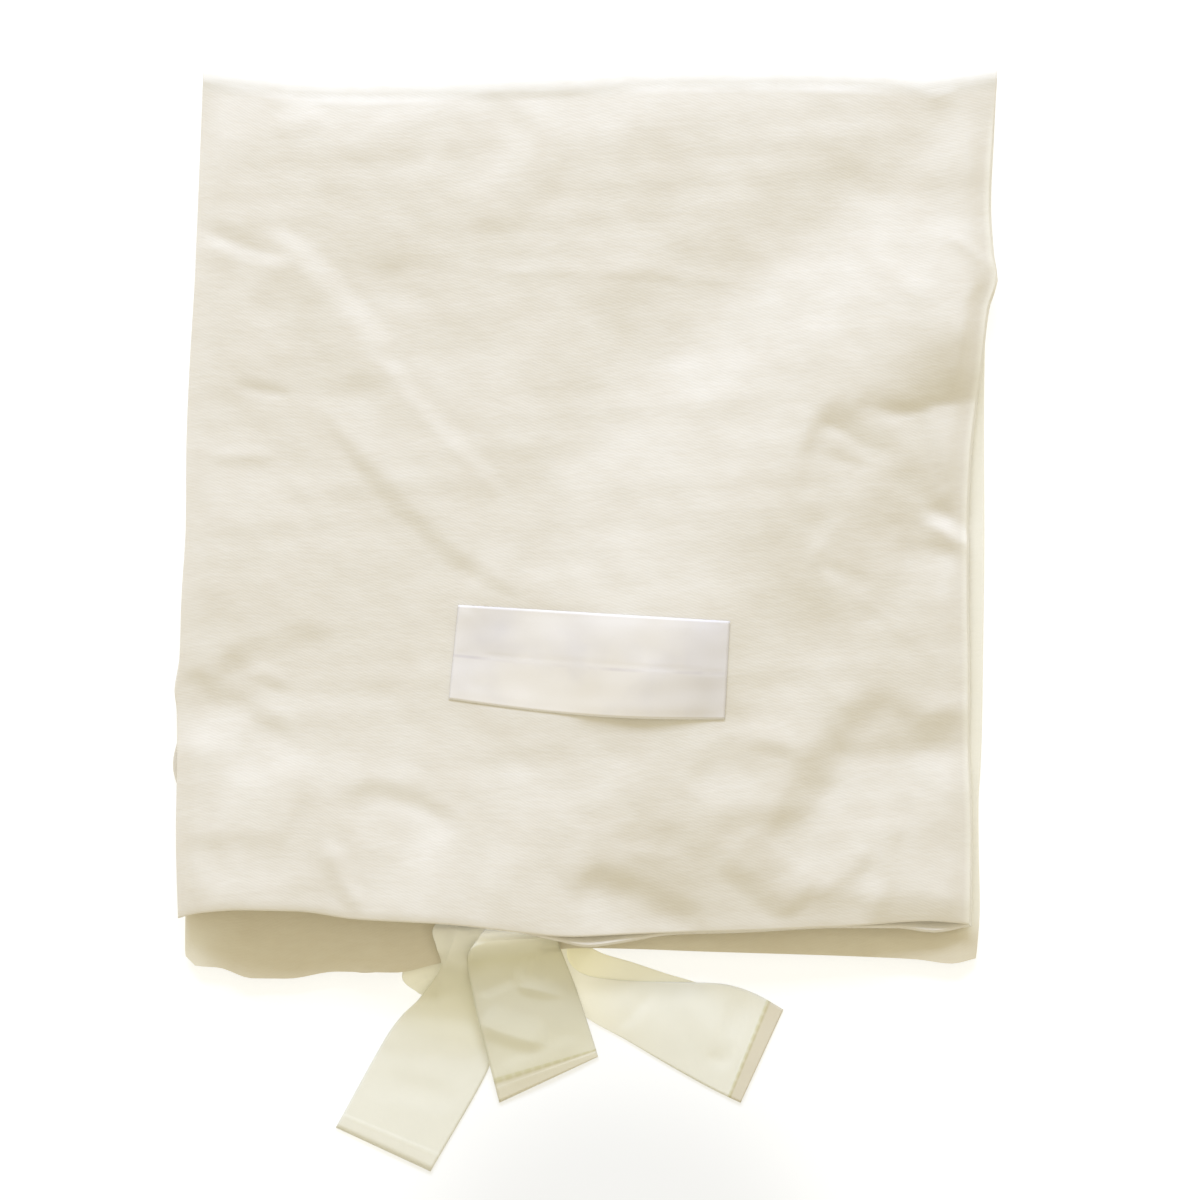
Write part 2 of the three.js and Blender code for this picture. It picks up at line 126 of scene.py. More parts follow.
# The label
SATIN = 0.18  # thickness
LABEL_CELLS = (96, 36)
LABEL_CLEAR = 0.05  # gap under its border
LABEL_EASE = 0.15  # how much higher its middle stands
LABEL_RATIO = 2.8  # its length to its height
LABEL_BORDER = 0.12  # border's width, as a part of its height
LABEL_SAG = 1.8  # how far its lower edge hangs
LABEL_LIFT = 0.9  # how far that edge lifts off the cloth, and where
LIFT_AT = 0.68
LIFT_WIDTH = 0.17
PRESSED_LINE = 13.8  # its height over the lower edge
SELVEDGE = 0.45

# Levels of the layers away from any crease
MOUTH_BACK = SOLID_CLOTH + NEST
FLAP_BACK = MOUTH_BACK + SOLID_CLOTH + CORE
BACK_TOP = FLAP_BACK + SOLID_CLOTH


def table(names, rows):
    """Rows with named columns."""
    return [dict(zip(names.split(), row)) for row in rows]


# Side edges of the lower half, from the mouth to the fold
LOWER_SIDES = table("y left right", [
    (-99, -113.6, 111.4),
    (-94, -114.4, 112.3),
    (-80, -114.2, 113.2),
    (-66, -113.6, 112.9),
    (-52, -115.2, 112.8),
    (-41, -117.9, 113.4),
    (-30, -115.5, 113.8),
    (-10, -112.5, 114.1),
    (25, -111.0, 114.5),
    (60, -110.0, 114.4),
    (100, -109.5, 115.2),
    (155, -109.0, 117.8),
])

# Side edges of the upper half, from its free end to the fold
UPPER_SIDES = table("y left right", [
    (-87, -116.1, 110.0),
    (-62, -116.7, 110.4),
    (-40, -116.4, 109.8),
    (-27, -116.6, 109.6),
    (-21, -117.2, 109.6),
    (-12, -115.8, 109.6),
    (5, -115.2, 109.3),
    (28, -113.9, 109.3),
    (47, -113.8, 110.0),
    (72, -112.9, 112.9),
    (90, -111.8, 115.0),
    (98.5, -111.3, 117.5),
    (106, -111.0, 116.4),
    (120, -110.4, 115.6),
    (155, -109.0, 117.8),
])

# The uneven line of the fold
FOLD_LINE = table("x y", [
    (-109, 157.4),
    (-96, 156.0),
    (-81, 154.4),
    (-64, 153.9),
    (-40, 154.4),
    (-20, 155.2),
    (4, 156.1),
    (16, 157.0),
    (60, 157.3),
    (84, 156.6),
    (96, 155.6),
    (106, 156.6),
    (118, 158.0),
])

# Free ends of the front panel and of the back panel, which looks out under it
FRONT_END = table("x y", [
    (-116.5, -85.3),
    (-110, -83.6),
    (-98, -82.6),
    (-82, -82.9),
    (-66, -85.1),
    (-41, -86.4),
    (-24, -88.3),
    (-4, -90.2),
    (16, -89.5),
    (45, -88.6),
    (74, -87.4),
    (98, -86.0),
    (110, -86.9),
])
BACK_END = table("x y", [
    (-116.5, -84.5),
    (-98, -82.0),
    (-66, -84.5),
    (-24, -88.0),
    (-8, -91.4),
    (1, -93.2),
    (12, -91.9),
    (24, -90.0),
    (45, -89.2),
    (74, -87.9),
    (89, -88.0),
    (100, -89.3),
    (110, -87.6),
])

# The mouth's edge on the back panel and on the front panel
MOUTH_LINE = table("x back front", [
    (-114.4, -96.0, -95.4),
    (-111, -99.0, -98.2),
    (-105, -99.4, -98.8),
    (-95, -102.5, -101.8),
    (-85, -102.6, -101.9),
    (-71, -100.6, -100.2),
    (-63, -100.7, -101.1),
    (-54, -100.8, -100.2),
    (-40, -97.8, -97.4),
    (-24, -95.7, -95.2),
    (0, -93.8, -93.2),
    (35, -94.9, -94.2),
    (79, -96.3, -95.6),
    (95, -97.1, -96.4),
    (105, -98.3, -97.5),
    (112, -96.9, -96.2),
])

# A crease is a ridge (height over 0) or a trough on a line from x0 y0 to x1 y1, whose middle stands bow to
# its left. Left and right are the reach of its two flanks, crisp is 1 for a sharp crest, and it fades in
# over the length fade0 and out over fade1.
CREASE_COLUMNS = "x0 y0 x1 y1 bow left right height crisp fade0 fade1"

# The upper half's swells, steps, valleys and creases that the solids have too
MAIN_CREASES = table(CREASE_COLUMNS, [
    # broad swell from the right edge down to the middle, and the trough above it
    (132, 106, -9, -30, 0, 44, 54, 5.4, 0, 38, 50),
    (104, 133, -22, 41, -4, 28, 26, -1.2, 0, 66, 30),
    (134, 112, 78, 115, 0, 20, 34, 2.2, 0, 8, 30),
    (24, 84, 76, 88, 0, 24, 20, 0.6, 0, 14, 14),
    # rise that carries the label
    (-24, -48, 80, -36, 0, 74, 40, 3.2, 0, 44, 40),
    (-40, 2, 14, 1, 0, 20, 24, 0.6, 0, 12, 14),
    (28, -45.5, 62, -43.5, 0, 11, 9, -1.0, 0, 9, 9),
    # lift of the free end, left of the ties
    (-66, -88, -2, -92, 0, 30, 8, 2.0, 0, 20, 20),
    (-14, -62, 88, -60, 0, 20, 28, 0.9, 0, 16, 16),
    # rise under the fold
    (-130, 137, 20, 136, 0, 21, 64, 2.0, 0, 30, 60),
    (-30, 139, 96, 141, 0, 17, 26, 1.2, 0, 50, 30),
    # diagonal ridge and step on the left
    (-93, 114, -52, 65, 0, 8.5, 18, 1.45, 0.1, 16, 14),
    (-63, 78, -24, 34, 0, 5, 13, 0.8, 0.3, 16, 9),
    (-76.5, 63.5, -14.5, 5.5, -3.5, 24, 6, 1.2, 0.15, 28, 16),
    # tuck by the left edge
    (-118, 117.5, -82, 104, -4, 6, 4.5, -0.9, 0.4, 5, 10),
    (-112, 105.5, -80, 97.5, 0, 5, 14, 0.4, 0, 6, 12),
    # soft bump under the fold
    (-5, 136, -33, 110, 0, 10, 12, 0.6, 0, 12, 14),
    (-14, 143, -42, 122, 0, 9, 14, -0.6, 0, 8, 10),
    (-70, 133, -42, 142, 0, 8, 12, 0.7, 0, 12, 12),
    (-78, 113, -44, 106, 0, 8, 11, 0.5, 0, 12, 12),
    # deep valley at the right edge and the folds below it
    (130, 64.8, 74, 57.5, 0, 36, 21, -4.9, 0.7, 8, 32),
    (75, 61.5, 97, 60.5, 0, 7, 6, -0.8, 0.5, 6, 9),
    (62, 58, 92, 46, 0, 11, 24, -1.4, 0.2, 8, 16),
    (84, 49.5, 114, 46, 0, 8, 13, 0.5, 0, 10, 16),
    (97, 33, 122, 20.5, 0, 9, 4, -1.5, 0.4, 7, 4),
    (95, 28.5, 120, 15, 0.5, 3.4, 8, 1.15, 0.4, 7, 4),
    (88, 20.5, 108, 19, 0, 6, 20, -0.8, 0.3, 5, 6),
    # notch in the left edge and the swell below it
    (-128, -24, -90, -21.5, -1, 15, 13, -1.7, 0.3, 4, 12),
    (-106, -19.5, -66, -3, 1.5, 9, 20, -1.0, 0.1, 8, 14),
    (-118, -17, -80, -38, 0, 7, 18, -1.1, 0.1, 6, 10),
    (-130, -104, -24, -84, -1, 54, 40, 3.3, 0, 10, 30),
    (-130, -66, -56, -60, 0, 42, 30, 1.8, 0, 8, 26),
    (-92, -46, -42, -47, 0, 10, 26, 0.8, 0, 10, 12),
    (-112, -86, -80, -85, 0, 13, 5, 0.7, 0, 10, 10),
    (-70, -48, -35, -60, 0, 7, 14, -0.9, 0.1, 10, 8),
    # step and hollow by the right edge, low down
    (132, -33.5, 87, -38, 0, 14, 12, -3.6, 0.4, 8, 17),
    (93, -16, 57, -76, 0, 28, 16, -3.8, 0.1, 27, 18),
    (72, -4, 42, -62, 0, 18, 26, 1.6, 0, 16, 20),
    # folds that run into the free end
    (-120, -67, -74, -68, 0, 7, 10, -0.55, 0, 8, 16),
    (-74, -62, -64, -84, 0, 5, 5, 1.0, 0.3, 8, 6),
    (-4, -75, 38, -91, 0, 10, 16, -1.3, 0.1, 8, 8),
    (38, -61, 63, -83, 0, 12, 8, 1.0, 0.1, 8, 6),
    (64, -79, 83, -64, 0, 7, 4, 0.5, 0.2, 5, 6),
    (76, -80.5, 116, -81, 3, 13, 9, 1.3, 0.2, 8, 5),
])

# Fine creases that only the cloth here has
FINE_CREASES = table(CREASE_COLUMNS, [
    # pressed line across the middle
    (-44, 101, 8, 98.5, 0, 5, 3, 0.22, 0.2, 14, 14),
    (0, 99.5, 46, 96.5, 0, 6, 3, 0.28, 0.3, 14, 12),
    # under the fold and by its right corner
    (-91, 141, -71, 144, 0, 5, 5, 0.4, 0, 7, 7),
    (96, 151, 108, 150, 0, 4, 5, 0.4, 0, 4, 4),
    (60, 135, 122, 133, 0, 11, 14, 0.5, 0, 12, 4),
    (30, 120, 76, 121, 0, 11, 10, 0.35, 0, 10, 10),
    (103, 110, 118, 100, 0, 3, 3, 0.45, 0.4, 5, 3),
    (90, 95, 112, 96, 0, 8, 9, 0.4, 0, 5, 4),
    # left edge, where the first one makes the tuck softer
    (-118, 117.5, -82, 104, -4, 6, 4.5, 0.4, 0.4, 5, 10),
    (-102, 68.5, -83, 62.5, 0, 3.5, 3, -0.45, 0.3, 6, 7),
    (-109, 49, -85, 46, 0, 3, 3.5, 0.4, 0.3, 8, 8),
    (-88, 46, -66, 10, 3, 5, 5, 0.2, 0.2, 12, 16),
    (-116, 80, -78, 78, 0, 22, 20, 0.6, 0, 6, 10),
    (-70, 90, -40, 84, 0, 8, 18, 0.4, 0, 10, 10),
    # inner end of the deep valley and the folds below it
    (52, 58, 68, 56, 0, 5, 9, 0.35, 0, 6, 6),
    (66, 57.5, 82, 48.5, 0, 3, 3.2, -0.28, 0.3, 5, 5),
    (67, 47, 83, 44, 0, 2.5, 12, -0.42, 0.4, 5, 5),
    (24, 66, 82, 68, 0, 24, 14, 0.9, 0, 12, 12),
    (80, 39.5, 100, 33, 0, 4, 5, 0.2, 0.3, 7, 7),
    (60, 32, 106, 40, 0, 26, 30, -1.6, 0, 9, 6),
    (84, 31.5, 102, 29.5, 0, 7, 5, 0.35, 0, 6, 6),
    (90, 22, 106, 20, 0, 4, 6, 0.3, 0, 5, 5),
    # faint crossing ridges
    (76, 33, 60, 8, 0, 5, 4, 0.25, 0.2, 9, 10),
    (67, 15, 84, 9, 0, 4, 6, -0.45, 0.2, 6, 6),
    (78, 11, 122, 9, 0, 10, 32, 0.4, 0, 12, 6),
    (73, 9.5, 105, -13, 0, 2.5, 3.5, 0.15, 0.3, 8, 8),
    # left notch and down to the free end
    (-98, -14, -52, -14, 0, 12, 8, 0.35, 0, 8, 8),
    (-95, -18, -84, -21, 0, 4, 3, -0.35, 0.3, 4, 4),
    (-96, -17, -84, -17, 0, 5, 6, 0.35, 0, 4, 4),
    (-100, -40, -76, -52, 0, 14, 30, 0.4, 0, 8, 6),
    (-108, -85, -72, -83, 0, 44, 6, 1.8, 0, 8, 14),
    (-64, -54, -42, -60, 0, 5, 9, 0.35, 0, 6, 6),
    # lower middle
    (44, -38.5, 61, -39.5, 0, 4, 4, -0.3, 0.2, 6, 6),
    (42, -37, 62, -38, 0, 10, 12, 0.5, 0, 6, 5),
    (8, -61, 31, -64, 0, 7, 5, -0.45, 0, 8, 8),
    (-36, 6, 6, 5, 0, 12, 6, 0.35, 0, 8, 8),
    (-50, -46, -14, -46, 0, 12, 10, 0.4, 0, 8, 8),
    (-8, -50, 24, -50, 0, 14, 8, 0.35, 0, 8, 8),
    (-8, -72, 16, -72, 0, 10, 12, 0.5, 0, 6, 6),
    (-4, -63, 92, -62, 0, 34, 27, 1.1, 0, 18, 8),
    # lower right
    (92, -18, 120, -20, 0, 10, 8, -0.5, 0.2, 8, 5),
    (70, -34, 92, -31, 0, 8, 6, 0.6, 0, 4, 4),
    (70, -50, 96, -50, 0, 10, 8, 0.4, 0, 8, 6),
    (54, -62, 94, -61, 0, 14, 20, 1.0, 0, 8, 8),
])

# Small folds of the lower half where it looks out from under the upper one
MOUTH_CREASES = table(CREASE_COLUMNS, [
    (118, 30, 104, 31, 0, 3, 3, -0.5, 0.3, 3, 3),
    (118, -21, 106, -21, 0, 2.5, 2.5, -0.5, 0.3, 3, 3),
    (118, -65, 104, -65, 0, 2.5, 2.5, -0.4, 0.3, 3, 3),
    (-47, -84, -40, -101, 0, 3, 4, 0.9, 0.4, 4, 4),
    (-66, -92, -64, -104, 0, 3, 3, 0.5, 0.3, 3, 3),
    (-59, -93, -59, -104, 0, 2.5, 2.5, -0.4, 0.3, 3, 3),
    (-96, -88, -98, -106, 0, 5, 5, 0.5, 0, 4, 4),
    (86, -88, 84, -100, 0, 6, 6, 0.4, 0, 3, 3),
])

# Random unevenness of the cloth: how long and how high its waves are
UNEVEN = table("wave height seed", [
    (52, 0.30, 31),
    (23, 0.13, 32),
    (11, 0.05, 33),
])

# Flat-topped rises of the lower and of the upper half over the ties
MOUTH_RISES = table("x y across along height", [
    (-45, -96, 28, 46, 1.45),
    (-5, -92, 30, 46, 1.45),
])
FLAP_RISES = table("x y across along height", [
    (-33, -88, 26, 50, 2.6),
    (-15, -88, 30, 50, 3.0),
    (-5, -92, 32, 50, 1.5),
    (-45, -96, 30, 50, 1.5),
])

# The label's corners, from the lower left one round to the upper left one
LABEL_CORNERS = table("x y", [
    (-38.7, -22.6),
    (39.9, -28.3),
    (41.4, -0.3),
    (-36.0, 4.3),
])

# Pressed line and soft waves of the label
LABEL_CREASES = table(CREASE_COLUMNS, [
    (-38, -9.3, 42, -15.2, 0, 0.9, 0.9, -0.14, 0.5, 3, 3),
    (-31, 6, -31, -24, 0, 5, 5, -0.2, 0, 8, 8),
    (-12, 5, -12, -25, 0, 7, 7, 0.15, 0, 8, 8),
    (20, 3, 19, -14, 0, 6, 6, -0.15, 0, 6, 6),
    (34, 2, 33, -29, 0, 4, 5, 0.2, 0, 8, 8),
])

# Greyer places of the satin, by their share of its length and height
LABEL_GREYS = table("u v across along depth", [
    (0.08, 0.75, 0.10, 0.45, 0.55),
    (0.17, 0.85, 0.07, 0.35, 0.4),
    (0.03, 0.25, 0.08, 0.4, 0.4),
    (0.97, 0.5, 0.11, 0.9, 0.9),
    (0.86, 0.75, 0.09, 0.4, 0.5),
    (0.78, 0.2, 0.14, 0.3, 0.5),
    (0.45, 0.75, 0.07, 0.3, 0.3),
    (0.35, 0.8, 0.25, 0.4, 0.25),
    (0.65, 0.85, 0.15, 0.4, 0.25),
])

# The ties, from the hidden root to the hemmed end: the two side edges of the underside, the crown between
# them, a painted yellow for the warm light in and between the layers there, a painted glow for light that
# shines through it, and painted shade that makes it dimmer where other cloth lies beneath
TIE_COLUMNS = "lx ly lz rx ry rz crown ochre glow dim"
TIES = {
    "tie_left": table(TIE_COLUMNS, [
        (-38.1, -74.0, 4.6, -29.3, -73.5, 4.5, 0.0, 0.1, 0, 0),
        (-41.7, -85.0, 5.8, -28.6, -85.5, 5.8, 0.2, 0.0, 0.07, 0),
        (-43.4, -88.8, 7.6, -28.6, -88.4, 8.6, 0.5, 0.1, 0.09, 0),
        (-42.2, -93.5, 7.4, -30.4, -92.5, 8.2, 0.7, 0.2, 0.08, 0.3),
        (-41.2, -99.3, 5.6, -31.5, -101.5, 4.0, 0.9, 0.6, 0.01, 0.6),
        (-47.0, -108.0, 2.2, -29.5, -111.4, 1.0, 0.7, 0.45, 0, 0.1),
        (-52.7, -113.7, 0.7, -27.5, -121.4, 0.0, 0.7, 0.2, 0, 0),
        (-58.4, -122.0, 0.0, -27.9, -129.4, 0.0, 0.5, 0.0, 0, 0),
        (-71.3, -145.4, 0.0, -44.1, -158.0, 0.0, 0.1, 0.0, 0, 0),
    ]),
    "tie_middle": table(TIE_COLUMNS, [
        (-24.5, -75.3, 4.6, -9.5, -75.1, 4.5, 0.0, 0.0, 0, 0),
        (-27.0, -85.8, 6.3, -8.1, -86.5, 5.4, 0.1, 0.0, 0.2, 0),
        (-29.6, -89.6, 10.2, -8.0, -88.5, 5.8, 0.6, 0.0, 0.22, 0.1),
        (-32.4, -94.0, 10.0, -7.9, -90.6, 5.9, 0.9, 0.45, 0.03, 0.3),
        (-33.5, -98.0, 7.4, -6.1, -95.7, 4.9, 1.0, 0.75, 0, 0.5),
        (-32.1, -105.7, 5.0, -3.0, -103.7, 2.9, 1.1, 0.4, 0, 0.6),
        (-31.0, -112.0, 3.6, -0.4, -111.4, 1.7, 1.0, 0.35, 0, 0.6),
        (-28.7, -121.4, 2.0, 2.1, -119.1, 0.6, 0.8, 0.4, 0, 0.4),
        (-24.4, -138.3, 0.0, 3.9, -125.1, 0.0, 0.2, 0.2, 0, 0),
    ]),
    "tie_right": table(TIE_COLUMNS, [
        (-11.3, -78.6, 1.6, -5.0, -78.6, 1.6, 0.0, 0.5, 0.2, 0),
        (-10.4, -91.0, 1.6, -5.0, -91.2, 1.6, 0.0, 0.5, 0.2, 0),
        (-8.1, -103.0, 1.2, -4.4, -97.8, 1.7, 0.3, 0.2, 0.17, 0),
        (-1.3, -112.6, 0.0, 1.0, -101.7, 1.9, 1.1, 0.1, 0.14, 0),
        (12.4, -120.6, 0.0, 13.5, -103.3, 1.3, 1.1, 0.0, 0.04, 0),
        (22.5, -126.6, 0.0, 27.5, -103.7, 0.6, 0.8, 0.0, 0, 0),
        (31.5, -131.7, 0.0, 40.1, -104.3, 0.4, 0.6, 0.0, 0, 0),
        (38.5, -135.4, 0.0, 49.0, -107.1, 0.1, 0.4, 0.0, 0, 0),
        (44.7, -138.3, 0.0, 57.0, -111.6, 0.0, 0.1, 0.0, 0, 0),
    ]),
    "tie_tucked": table(TIE_COLUMNS, [
        (-50.4, -80.0, 1.5, -39.5, -80.0, 1.5, 0.0, 0.4, 0.12, 0),
        (-51.0, -96.0, 1.5, -39.0, -96.0, 1.5, 0.0, 0.4, 0.12, 0),
        (-52.1, -102.8, 1.7, -39.6, -103.0, 1.2, 0.4, 0.3, 0.1, 0),
        (-47.5, -107.0, 0.0, -41.3, -109.7, 0.0, 0.2, 0.2, 0.02, 0),
    ]),
}

# The part of the right tie that is doubled behind it
DOUBLED = table(TIE_COLUMNS, [
    (-6.0, -78.6, 1.0, 1.0, -78.6, 1.3, 0.0, 1.0, 0.2, 0),
    (-5.5, -90.5, 1.0, 1.2, -91.2, 1.4, 0.0, 0.9, 0.16, 0),
    (-4.0, -102.5, 0.6, 4.0, -94.9, 2.4, 0.3, 0.7, 0.17, 0),
    (5.0, -106.3, 0.0, 14.0, -98.1, 1.7, 0.3, 0.35, 0.09, 0),
    (16.0, -107.3, 0.0, 23.5, -101.3, 0.8, 0.2, 0.3, 0.04, 0),
    (25.0, -107.8, 0.0, 31.0, -103.5, 0.0, 0.0, 0.3, 0.02, 0),
    (33.0, -107.5, 0.0, 36.5, -105.6, 0.0, 0.0, 0.3, 0, 0),
])

# How much browner the turned end of each tie is
TURNED = {"tie_left": 0.12, "tie_middle": 0.5, "tie_right": 1.0, "tie_tucked": 0.0}

# Folds and soft pleats of the ribbons
TIE_CREASES = {
    "tie_left": table(CREASE_COLUMNS, [
        (-43, -99.5, -31, -97.5, 0, 4, 6, 0.9, 0.2, 2, 2),
        (-50, -108.5, -28, -105.5, 0, 4, 3, -0.5, 0.2, 4, 4),
        (-62, -119, -26, -121, 1, 6, 7, 0.5, 0, 8, 8),
        (-66, -130, -34, -138, 0, 5, 6, -0.3, 0, 8, 8),
        (-35.6, -85.5, -40.5, -100, 0, 5, 2.6, 1.5, 0.5, 3, 4),
        (-41, -96, -43, -112, 0, 2.5, 3, -0.4, 0.2, 4, 6),
    ]),
    "tie_middle": table(CREASE_COLUMNS, [
        (-36, -96.3, -24.5, -91.0, 1, 3, 3.5, 1.0, 0.6, 3, 6),
        (-29, -91.4, -10, -90.7, 0, 2, 4.5, 1.1, 0.5, 5, 6),
        (-31.5, -107.4, -18.5, -101.4, 0, 4, 3, -0.6, 0.2, 4, 3),
        (-20, -104.2, -4, -108.2, 0, 5.5, 2.5, 1.0, 0.4, 3, 9),
        (-14.2, -94.5, -20, -104.5, 0, 3, 3, 0.6, 0.4, 3, 3),
        (-15, -96, -2, -94.5, 0, 2, 10, 0.8, 0.1, 3, 2),
        (-31, -115, -9, -122, -0.7, 8, 4, 1.0, 0.3, 4, 7),
        (-26, -131, 0, -120, 0, 4, 5, 0.3, 0, 6, 6),
    ]),
    "tie_right": table(CREASE_COLUMNS, [
        (19.5, -106, 9, -118, 0, 3.5, 4, -0.35, 0.1, 5, 5),
        (27, -104, 42, -126, 0, 7, 7, 0.4, 0, 6, 6),
        (46, -107, 37, -130, 0, 5, 5, -0.3, 0, 5, 5),
    ]),
    "tie_tucked": table(CREASE_COLUMNS, [
        (-50, -105.2, -44, -101.5, 0, 2, 2.5, 0.5, 0.5, 2, 2),
    ]),
}


def smooth(start, end, value):
    """0 at start, 1 at end, with a soft turn at both."""
    t = np.clip((value - start) / (end - start), 0, 1)
    return t * t * (3 - 2 * t)


def mix(a, b, t):
    """A value on the way from a to b."""
    return a + (b - a) * t


def through(rows, given, wanted):
    """A smooth function through a table's points, for one column against another."""
    order = sorted(rows, key=lambda row: row[given])
    x = np.array([row[given] for row in order], float)
    y = np.array([row[wanted] for row in order], float)
    rise = np.diff(y) / np.diff(x)
    before = np.append(rise[0], rise)
    after = np.append(rise, rise[-1])
    steady = before * after > 0
    slope = np.where(steady, 2 * before * after / np.where(steady, before + after, 1), 0)

    def value(at):
        at = np.clip(at, x[0], x[-1])
        k = np.clip(np.searchsorted(x, at, side="right") - 1, 0, len(x) - 2)
        step = x[k + 1] - x[k]
        t = (at - x[k]) / step
        start = (1 + 2 * t) * (1 - t) ** 2 * y[k] + t * (1 - t) ** 2 * step * slope[k]
        return start + t * t * (3 - 2 * t) * y[k + 1] + t * t * (t - 1) * step * slope[k + 1]

    return value


upper_left = through(UPPER_SIDES, "y", "left")
upper_right = through(UPPER_SIDES, "y", "right")
lower_left = through(LOWER_SIDES, "y", "left")
lower_right = through(LOWER_SIDES, "y", "right")
fold_top = through(FOLD_LINE, "x", "y")
front_end = through(FRONT_END, "x", "y")
back_end = through(BACK_END, "x", "y")
back_mouth = through(MOUTH_LINE, "x", "back")
front_mouth = through(MOUTH_LINE, "x", "front")


def crease_heights(creases, x, y):
    """Sum of a table's creases at each place."""
    total = np.zeros_like(x)
    for row in creases:
        dx, dy = row["x1"] - row["x0"], row["y1"] - row["y0"]
        length = math.hypot(dx, dy)
        along = ((x - row["x0"]) * dx + (y - row["y0"]) * dy) / length ** 2
        middle = 4 * row["bow"] * along * (1 - along)
        across = (dx * (y - row["y0"]) - dy * (x - row["x0"])) / length - middle
        ends = smooth(0, row["fade0"] / length, along) * smooth(0, row["fade1"] / length, 1 - along)
        reach = np.where(across > 0, row["left"], row["right"]) * mix(TIP_WIDTH, 1, ends)
        flank = np.clip(np.abs(across) / reach, 0, 1)
        soft = (1 - flank ** 2) ** 2
        sharp = (1 - flank) ** 3
        total += row["height"] * mix(soft, sharp, row["crisp"]) * ends
    return total


def ripple(x, y, wave, seed):
    """A soft random unevenness, about 1 high, of waves about as long as wave and longer across the bag."""
    chance = np.random.default_rng(seed)
    total = np.zeros_like(x)
    for _ in range(RIPPLES):
        turn, start = chance.uniform(0, 2 * math.pi, 2)
        pace = 2 * math.pi / (wave * chance.uniform(0.7, 1.5))
        total += np.sin(pace * (np.cos(turn) * x / STRETCH + np.sin(turn) * y) + start)
    return total * math.sqrt(2 / RIPPLES)


def uneven(x, y):
    """Small random rise and fall of the cloth between its creases."""
    return sum(row["height"] * ripple(x, y, row["wave"], row["seed"]) for row in UNEVEN)


def strayed(x, y):
    """Places moved a little, so that no crease runs straight."""
    return (x + STRAY * ripple(x, y, STRAY_WAVE, 21) + STRAY_FINE * ripple(x, y, STRAY_FINE_WAVE, 22),
            y + STRAY * ripple(x, y, STRAY_WAVE, 23) + STRAY_FINE * ripple(x, y, STRAY_FINE_WAVE, 24))


def rise_heights(rises, x, y):
    """The flat-topped rises at each place, the highest one where they meet."""
    highest = np.zeros_like(x)
    for row in rises:
        away = np.hypot((x - row["x"]) / row["across"], (y - row["y"]) / row["along"])
        highest = np.maximum(highest, row["height"] * smooth(0, RISE_FADE, 1 - away))
    return highest


def between(value, start, end, band):
    """1 between start and end, falling to 0 at both over the width of a band."""
    return smooth(0, band, value - start) * smooth(0, band, end - value)


def relief(x, y, fine):
    """How far the upper half stands off its lowest level."""
    near_x, near_y = strayed(x, y)
    folds = PUFF + crease_heights(MAIN_CREASES, near_x, near_y)
    lifted = np.log1p(np.exp(2 * folds)) / 2
    if fine:
        lifted = lifted + crease_heights(FINE_CREASES, near_x, near_y) + uneven(x, y)
    seams = between(x, upper_left(y), upper_right(y), SEAM_REACH)
    end = smooth(0, END_REACH, y - front_end(x))
    corners = between(x, upper_left(FOLD_Y), upper_right(FOLD_Y), CORNER_REACH)
    away = smooth(0, FOLD_REACH, fold_top(x) - y)
    drawn = (SEAM_HEIGHT + (1 - SEAM_HEIGHT) * seams) * (END_HEIGHT + (1 - END_HEIGHT) * end)
    return lifted * drawn * (away + (1 - away) * corners)


def seam_drop(x, y):
    """How far the upper half's seams settle towards the lower half."""
    seams = between(x, upper_left(y), upper_right(y), DROP_REACH)
    return SEAM_DROP * (1 - seams) * smooth(0, FOLD_REACH, fold_top(x) - y)


def flap_height(x, y, fine=True):
    """Underside of the front panel's upper half, on the solids' thickness."""
    return BACK_TOP + NEST + relief(x, y, fine) + rise_heights(FLAP_RISES, x, y) - seam_drop(x, y)


def flap_back_height(x, y):
    """Underside of the back panel's upper half."""
    together = 1 - smooth(0, FOLD_REACH, fold_top(x) - y)
    follow = SHARE + (1 - SHARE) * together
    return FLAP_BACK + follow * relief(x, y, False) + rise_heights(FLAP_RISES, x, y) - seam_drop(x, y)


def mouth_height(x, y):
    """Underside of the back panel's lower half."""
    return MOUTH_BACK + rise_heights(MOUTH_RISES, x, y) + crease_heights(MOUTH_CREASES, x, y)


def spaced(count, length):
    """Places from 0 to 1 with a few close ones at both ends, where a seam's edge rolls over."""
    rim = ROLL_REACH / length * (1 - np.cos(np.linspace(0, math.pi / 2, RIM_CELLS + 1)))
    inner = np.linspace(rim[-1], 1 - rim[-1], count - 2 * RIM_CELLS + 1)
    return np.concatenate([rim[:-1], inner, 1 - rim[::-1][1:]])


def rolled(distance):
    """How far a turned edge has dropped at a distance from its rim."""
    inside = np.clip(1 - distance / ROLL_REACH, 0, 1)
    return ROLL_DROP * (1 - np.sqrt(1 - inside ** 2))


def from_rim(i, j, across, along):
    """Number of cells from each vertex of a grid to the nearest edge."""
    return np.minimum(np.minimum(i, across - i), np.minimum(j, along - j))


def new_grid(name, across, along):
    """A flat grid of cells, added by its primitive, and the place of each vertex in it."""
    bpy.ops.object.select_all(action="DESELECT")
    bpy.ops.mesh.primitive_grid_add(x_subdivisions=across, y_subdivisions=along, size=1)
    piece = bpy.context.object
    piece.name = name
    piece.data.name = name
    co = np.empty(len(piece.data.vertices) * 3, np.float32)
    piece.data.vertices.foreach_get("co", co)
    co = co.reshape(-1, 3)
    i = np.rint((co[:, 0] + 0.5) * across).astype(int)
    j = np.rint((co[:, 1] + 0.5) * along).astype(int)
    return piece, i, j


